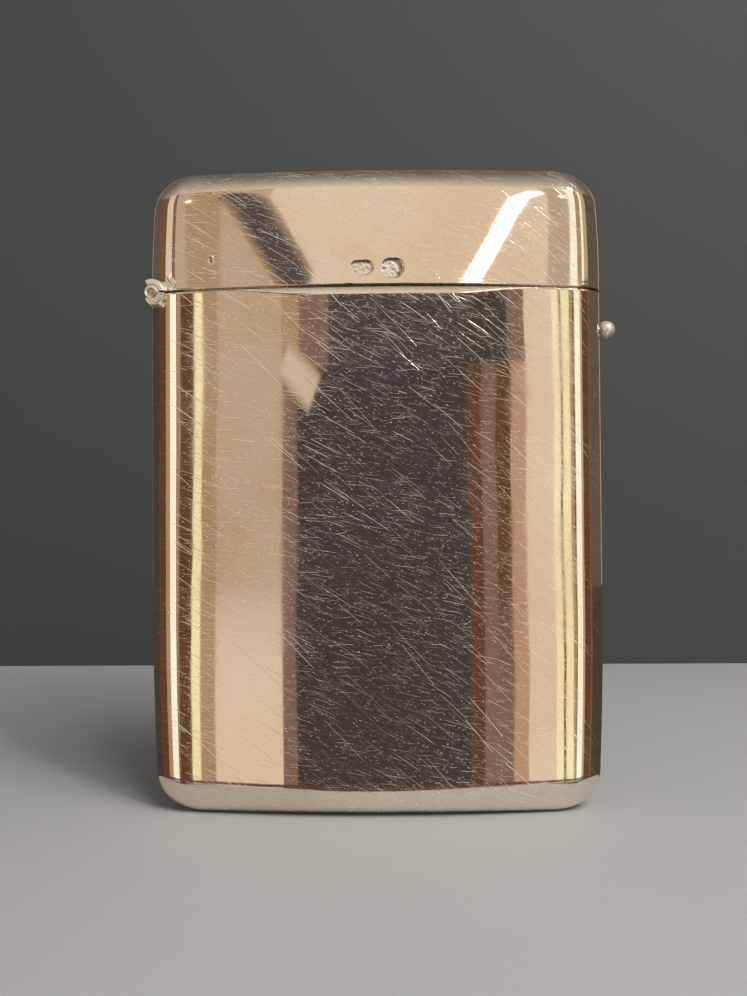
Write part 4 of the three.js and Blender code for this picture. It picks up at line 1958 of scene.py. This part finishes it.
UPPER_TIER = Tier(
    176 * MM,
    330 * MM,
    (
        Strip(-160, Tone.DUSK),
        Strip(-140, Tone.SAND),
        Strip(-84, Tone.DUSK),
        Strip(-64, Tone.BROWN),
        Strip(-48, Tone.BISQUE),
        Strip(-40, Tone.CLAY),
        Strip(-34, Tone.SAND),
        Strip(-28, Tone.TAN),
        Strip(-19, Tone.SAND),
        Strip(14, Tone.BISQUE),
        Strip(30, Tone.BISQUE),
        Strip(34, Tone.SAND),
        Strip(43, Tone.CREAM),
        Strip(54, Tone.TAN),
        Strip(60, Tone.CREAM),
        Strip(70, Tone.SAND),
        Strip(130, Tone.DUSK),
        Strip(150, Tone.SAND),
        Strip(180, Tone.DUSK),
    ),
)


@dataclass(frozen=True)
class Slat:
    """Narrow straight panel that the lid reflects as a streak.

    Attributes:
        name: Its name.
        foot: Its lower end, in millimetres.
        head: Its upper end, in millimetres.
        width: Its width, in millimetres.
        tone: Its tone.
        gain: Factor on its tone.
        edge_tone: Tone that it fades to at its long edges, if it does.
    """

    name: str
    foot: tuple[float, float, float]
    head: tuple[float, float, float]
    width: float
    tone: Tone
    gain: float = 1.0
    edge_tone: Tone | None = None


SLATS = (
    Slat("bright_slat", (82, -300, 160), (170, -300, 244), 13, Tone.WHITE, 1.8),
    Slat("dark_slat", (-72, -300, 160), (-160, -300, 240), 32, Tone.PLUM, 1.3, Tone.TAN),
    Slat("left_glint", (-203, -298, 230), (-201, -298, 236), 5, Tone.STRAW, 7),
    Slat("right_glint", (194, -298, 234), (196, -298, 240), 5, Tone.STRAW, 7),
    Slat("sand_patch", (-62, -300, 98), (-92, -300, 118), 24, Tone.BISQUE, 0.85, Tone.TAN),
)


@dataclass(frozen=True)
class Lamp:
    """Soft square lamp that looks at the case.

    Attributes:
        name: Its name.
        place: Its place, in millimetres.
        size: Width of its face.
        power: Its power in watts.
        mirrored: Whether the metal shows it.
        colour: Colour of its light.
    """

    name: str
    place: tuple[float, float, float]
    size: float
    power: float
    mirrored: bool = False
    colour: tuple[float, float, float] = (1.0, 0.98, 0.95)


LAMPS = (
    Lamp("key", (220, -240, 420), 0.3, 2.1),
    Lamp("spark", (230, -250, 330), 0.05, 0.42, mirrored=True),
)


@dataclass
class Studio:
    """Floor, backdrop, reflected panels, lamps, world light and camera.

    Attributes:
        form: Form of the shut case.
        surround_radius: Distance of the reflected panels.
        fan_start: Distance from the case at which the panels' feet on the floor start.
        fan_height: Height on the case that mirrors the feet straight down.
        fan_lift: Height of the feet over the floor.
        skirt: Width of the dark edge that the feet start with.
        dim_start: Half of the width of the floor that the narrow sides reflect.
        dim_depth: Share of that width which it has from front to back.
        dim_lift: Height of the dim ring over the floor.
        set_size: Width of the floor and of the backdrop.
        floor_tone: Colour of the floor.
        wall_tone: Colour of the backdrop.
        world_tone: Colour of the light all round.
        world_strength: Strength of that light.
        wall_distance: Distance of the backdrop behind the middle plane.
        eye: Place of the camera, in millimetres.
        tilt_deg: How far the camera looks up.
        yaw_deg: How far it looks to the right.
        roll_deg: How far its right side is raised.
        focal_px: Focal length in pixels of the photograph.
        frame_height: Height of the photograph in pixels.
    """

    form: CaseForm
    surround_radius: float = 400 * MM
    fan_start: float = 11 * MM
    fan_height: float = 12 * MM
    fan_lift: float = 0.3 * MM
    skirt: float = 1.6 * MM
    dim_start: float = 42 * MM
    dim_depth: float = 0.45
    dim_lift: float = 0.15 * MM
    set_size: float = 3.0
    floor_tone: tuple[float, float, float] = (0.44, 0.435, 0.425)
    wall_tone: tuple[float, float, float] = (0.07, 0.072, 0.074)
    world_tone: tuple[float, float, float] = (0.97, 0.98, 1.0)
    world_strength: float = 0.3
    wall_distance: float = 112 * MM
    eye: tuple[float, float, float] = (1.314, -120.0, 41.257)
    tilt_deg: float = 1.011
    yaw_deg: float = -0.819
    roll_deg: float = -0.362
    focal_px: float = 850.1
    frame_height: int = 996

    def plane(self, name: str, matrix: Matrix, colour: tuple[float, float, float]) -> bpy.types.Object:
        """Makes a plain surface of the set.

        Args:
            name: Name of the surface.
            matrix: Its place.
            colour: Its colour.

        Returns:
            The surface.
        """
        bm = bmesh.new()
        bmesh.ops.create_grid(bm, x_segments=1, y_segments=1, size=self.set_size / 2)
        bmesh.ops.transform(bm, matrix=matrix, verts=bm.verts)
        material = bpy.data.materials.new(name)
        material.use_nodes = True
        shader = material.node_tree.nodes["Principled BSDF"]
        shader.inputs["Base Color"].default_value = (*colour, 1)
        shader.inputs["Roughness"].default_value = 0.9
        surface = placed(name, bm, material)
        return surface

    @staticmethod
    def open_behind(material: bpy.types.Material) -> None:
        """Makes a surface of the set clear from behind, so that it hides nothing from there.

        Args:
            material: The surface's material.
        """
        tree = material.node_tree
        shader, output = tree.nodes["Principled BSDF"], tree.nodes["Material Output"]
        mix = tree.nodes.new("ShaderNodeMixShader")
        tree.links.new(tree.nodes.new("ShaderNodeNewGeometry").outputs["Backfacing"], mix.inputs[0])
        tree.links.new(shader.outputs[0], mix.inputs[1])
        tree.links.new(tree.nodes.new("ShaderNodeBsdfTransparent").outputs[0], mix.inputs[2])
        tree.links.new(mix.outputs[0], output.inputs["Surface"])

    @staticmethod
    def panel_material() -> bpy.types.Material:
        """Builds the glow of the reflected panels, in the tone that their mesh carries."""
        material, graph = NodeGraph.of_material("reflected_panels")
        tone = graph.add("Attribute", attribute_name="tone").outputs["Color"]
        graph.show(graph.add("Emission", Color=tone, Strength=1.0))
        return material

    @staticmethod
    def panel(name: str, bm: bmesh.types.BMesh, material: bpy.types.Material) -> None:
        """Sets up a panel that only reflections show.

        Args:
            name: Its name.
            bm: Its mesh.
            material: The glow of the panels.
        """
        thing = placed(name, bm, material)
        thing.visible_camera = False
        thing.visible_diffuse = False
        thing.visible_shadow = False

    @staticmethod
    def blank_panel() -> bmesh.types.BMesh:
        """Starts the mesh of a panel, whose corners carry its tones."""
        bm = bmesh.new()
        bm.loops.layers.float_color.new("tone")
        return bm

    @staticmethod
    def paint(bm: bmesh.types.BMesh, things: list, tone: Tone, gain: float = 1.0) -> None:
        """Gives the corners of a panel's faces, or at its vertices, a tone.

        Args:
            bm: The panel's mesh.
            things: The faces or the vertices.
            tone: Their tone.
            gain: Factor on the tone.
        """
        layer = bm.loops.layers.float_color["tone"]
        for thing in things:
            for loop in thing.link_loops if isinstance(thing, bmesh.types.BMVert) else thing.loops:
                loop[layer] = (*(gain * part for part in tone.value), 1)

    def surround(self, tier: Tier) -> bmesh.types.BMesh:
        """Spins the strips of a tier round the case.

        Args:
            tier: The tier.

        Returns:
            The mesh of the tier.
        """
        bm = self.blank_panel()
        start = -180.0
        for strip in tier.strips:
            angle = math.radians(start)
            foot = Vector((math.sin(angle), -math.cos(angle), 0)) * self.surround_radius
            ends = [bm.verts.new((foot.x, foot.y, z)) for z in (tier.low, tier.high)]
            edge = bm.edges.new(ends)
            known = set(bm.faces)
            width_deg = strip.end_deg - start
            bmesh.ops.spin(
                bm,
                geom=[*ends, edge],
                cent=(0, 0, 0),
                axis=(0, 0, 1),
                angle=math.radians(width_deg),
                steps=max(1, round(width_deg / 3)),
            )
            self.paint(bm, [f for f in bm.faces if f not in known], strip.tone)
            start = strip.end_deg
        return bm

    def mirrored_ray(self, section: Section, turn: float) -> tuple[Vector, Vector]:
        """Follows the camera's look at a point of the front after the metal turns it back.

        Args:
            section: Section of the case at the height looked at.
            turn: Direction in which the point of the section faces, from straight ahead.

        Returns:
            The point and the level direction after reflection.
        """
        x, y = section.front_point(turn)
        eye = Vector(self.eye) * MM
        look = Vector((x - eye.x, y - eye.y, 0)).normalized()
        normal = Vector((math.sin(turn), -math.cos(turn), 0))
        return Vector((x, y, 0)), look - 2 * look.dot(normal) * normal

    def foot_line(self, section: Section, azimuth_deg: float) -> tuple[Vector, Vector]:
        """Finds where a strip's edge starts and ends on the floor, so that it reflects straight down.

        Args:
            section: Section of the case near its base.
            azimuth_deg: Azimuth of the edge on the surround.

        Returns:
            Start near the case and end below the surround.
        """
        low, high = -math.radians(60), math.radians(60)
        for _ in range(40):
            turn = (low + high) / 2
            point, way = self.mirrored_ray(section, turn)
            beside = point.dot(way)
            reach = math.sqrt(beside**2 - point.dot(point) + self.surround_radius**2)
            far = point + way * (reach - beside)
            if math.degrees(math.atan2(far.x, -far.y)) < azimuth_deg:
                low = turn
            else:
                high = turn
        return point + way * self.fan_start, far

    def fan(self, tier: Tier) -> bmesh.types.BMesh:
        """Lays the feet of the front strips on the floor, as a fan that starts before the case.

        Args:
            tier: The tier whose strips it continues.

        Returns:
            The mesh of the fan.
        """
        section = self.form.section(self.fan_height)
        lift = Vector((0, 0, self.fan_lift))
        bm = self.blank_panel()
        start = FRONT_START_DEG
        for strip in tier.strips:
            if strip.end_deg <= start or strip.end_deg > FRONT_END_DEG:
                continue
            near_a, far_a = self.foot_line(section, start)
            near_b, far_b = self.foot_line(section, strip.end_deg)
            corners = [bm.verts.new(place + lift) for place in (near_a, near_b, far_b, far_a)]
            self.paint(bm, bmesh.ops.contextual_create(bm, geom=corners)["faces"], strip.tone)
            if strip.floor_tone:
                self.paint(bm, corners[:2], strip.floor_tone)
            edge_a = near_a + (far_a - near_a).normalized() * self.skirt
            edge_b = near_b + (far_b - near_b).normalized() * self.skirt
            corners = [bm.verts.new(place + 1.5 * lift) for place in (near_a, near_b, edge_b, edge_a)]
            self.paint(bm, bmesh.ops.contextual_create(bm, geom=corners)["faces"], Tone.UMBER)
            start = strip.end_deg
        return bm

    def ceiling(self) -> bmesh.types.BMesh:
        """Makes the ceiling over the surround, pale in front and dim behind."""
        bm = self.blank_panel()
        layer = bm.loops.layers.float_color["tone"]
        bmesh.ops.create_grid(bm, x_segments=16, y_segments=32, size=self.surround_radius)
        bmesh.ops.translate(bm, vec=(0, 0, UPPER_TIER.high), verts=bm.verts)
        pale, dim = Vector(Tone.FOG.value), Vector(Tone.MIST.value)
        for face in bm.faces:
            for loop in face.loops:
                share = smoothstep(-self.surround_radius, 0.25 * self.surround_radius, loop.vert.co.y)
                loop[layer] = (*pale.lerp(dim, share), 1)
        return bm

    def dim_floor(self) -> bmesh.types.BMesh:
        """Makes the dim ring that the narrow sides and the back reflect in place of the floor."""
        bm = self.blank_panel()
        bmesh.ops.create_circle(bm, segments=64, radius=self.surround_radius)
        rim = bmesh.ops.extrude_edge_only(bm, edges=list(bm.edges))
        inner = [item for item in rim["geom"] if isinstance(item, bmesh.types.BMVert)]
        reach = self.dim_start / self.surround_radius
        bmesh.ops.scale(bm, vec=(reach, self.dim_depth * reach, 1), verts=inner)
        bmesh.ops.translate(bm, vec=(0, 0, self.dim_lift), verts=bm.verts)
        self.paint(bm, list(bm.faces), Tone.SHADE)
        return bm

    def slat(self, slat: Slat) -> bmesh.types.BMesh:
        """Makes a narrow panel between two points, facing the case.

        Args:
            slat: Its description.

        Returns:
            The mesh of the slat.
        """
        foot, head = Vector(slat.foot) * MM, Vector(slat.head) * MM
        run = head - foot
        bm = self.blank_panel()
        bmesh.ops.create_grid(bm, x_segments=4, y_segments=1, size=0.5)
        sides = [vert for vert in bm.verts if abs(vert.co.x) > 0.49]
        bmesh.ops.scale(bm, vec=(slat.width * MM, run.length, 1), verts=bm.verts)
        across = run.cross(-FRONTWARD).normalized()
        turn = Matrix((across, run.normalized(), across.cross(run).normalized())).transposed().to_4x4()
        bmesh.ops.transform(bm, matrix=Matrix.Translation((foot + head) / 2) @ turn, verts=bm.verts)
        self.paint(bm, list(bm.faces), slat.tone, slat.gain)
        if slat.edge_tone:
            self.paint(bm, sides, slat.edge_tone)
        return bm

    def hang(self, lamp: Lamp) -> None:
        """Adds a lamp.

        Args:
            lamp: Its description.
        """
        light = bpy.data.lights.new(lamp.name, "AREA")
        light.size = lamp.size
        light.energy = lamp.power
        light.color = lamp.colour
        thing = bpy.data.objects.new(lamp.name, light)
        thing.location = Vector(lamp.place) * MM
        aim = Vector((0, 0, self.form.height / 2))
        thing.rotation_euler = (thing.location - aim).to_track_quat("Z", "Y").to_euler()
        thing.visible_glossy = lamp.mirrored
        bpy.context.scene.collection.objects.link(thing)

    def camera(self) -> None:
        """Adds the camera at the photograph's viewing angle."""
        lens = bpy.data.cameras.new("camera")
        lens.sensor_width = 36
        lens.lens = self.focal_px * lens.sensor_width / self.frame_height
        lens.clip_start = 0.005
        lens.clip_end = 10
        thing = bpy.data.objects.new("camera", lens)
        tilt, yaw, roll = (math.radians(a) for a in (self.tilt_deg, self.yaw_deg, self.roll_deg))
        level = Vector((math.sin(yaw), math.cos(yaw), 0))
        forward = level * math.cos(tilt) + Vector((0, 0, math.sin(tilt)))
        right = Vector((math.cos(yaw), -math.sin(yaw), 0))
        up = right.cross(forward)
        axes = (
            right * math.cos(roll) + up * math.sin(roll),
            up * math.cos(roll) - right * math.sin(roll),
            -forward,
        )
        turn = Matrix(axes).transposed().to_4x4()
        thing.matrix_world = Matrix.Translation(Vector(self.eye) * MM) @ turn
        bpy.context.scene.collection.objects.link(thing)
        bpy.context.scene.camera = thing

    def build(self) -> None:
        """Makes the whole set."""
        bpy.context.scene.view_settings.view_transform = "Standard"
        self.plane("floor", Matrix.Identity(4), self.floor_tone)
        upright = Matrix.Translation((0, self.wall_distance, 0)) @ Matrix.Rotation(math.pi / 2, 4, "X")
        wall = self.plane("backdrop", upright, self.wall_tone)
        wall.visible_glossy = False
        self.open_behind(wall.data.materials[0])
        panels = {
            "lower_surround": self.surround(LOWER_TIER),
            "middle_surround": self.surround(MIDDLE_TIER),
            "upper_surround": self.surround(UPPER_TIER),
            "dim_floor": self.dim_floor(),
            "floor_fan": self.fan(LOWER_TIER),
            "ceiling": self.ceiling(),
        }
        panels |= {slat.name: self.slat(slat) for slat in SLATS}
        glow = self.panel_material()
        for name, bm in panels.items():
            self.panel(name, bm, glow)
        world = bpy.data.worlds.new("studio")
        bpy.context.scene.world = world
        world.use_nodes = True
        graph = NodeGraph(world.node_tree)
        light = graph.add("Background", Color=(*self.world_tone, 1), Strength=self.world_strength)
        graph.link(light.outputs[0], graph.add("OutputWorld").inputs["Surface"])
        for lamp in LAMPS:
            self.hang(lamp)
        self.camera()


INNER_NODES = (
    "button_bush",
    "button_washer",
    "spring_seat",
    "spring_rivet_1",
    "spring_rivet_2",
    "catch_plate",
    "catch_spring",
)


def dress_inner_nodes(dull: bpy.types.Material, spring: bpy.types.Material) -> None:
    """Gives the frame's own inner pieces their finish.

    Args:
        dull: Finish of the silver pieces.
        spring: Finish of the spring.
    """
    for name in INNER_NODES:
        material = spring if name == "catch_spring" else dull
        node = frame["nodes"][name]
        node.data.materials.clear()
        node.data.materials.append(material)
        LOG.info("%s: finish %s", name, material.name)


def main() -> None:
    """Builds every piece in order."""
    logging.basicConfig(level=logging.INFO, format="%(message)s")
    form = CaseForm.from_frame()
    hairlines, smears = hairline_group(), smear_group()
    polished = Silver("polished_silver").build(hairlines, smears)
    dull = DullMetal("dull_silver", (0.9, 0.77, 0.58), (0.58, 0.45, 0.32)).build(smears)
    spring = DullMetal("spring_metal", (0.6, 0.58, 0.54), (0.4, 0.38, 0.34)).build(smears)
    hinge = Hinge(form)
    catch = Catch(form)
    for half in Half:
        word = half.name.lower()
        body = Stamping(form, f"body_{word}", half, Body.CASE, 0.0, form.body_top, lip_round=0.12 * MM)
        body.wear = LipWear()
        body.build(polished, [hinge.notch(), catch.hole()])
        lid = Stamping(form, f"lid_{word}", half, Body.LID, form.lid_bottom, form.height)
        if half is Half.FRONT:
            lid.marks = MARKS
            lid.ridges = FileRidges()
        lid.build(polished, [hinge.notch()])
    Collar(form).build(hinge.axis_point, polished)
    hinge.build(polished, dull)
    catch.button(polished)
    dress_inner_nodes(dull, spring)
    Studio(form).build()


if __name__ == "__main__":
    main()
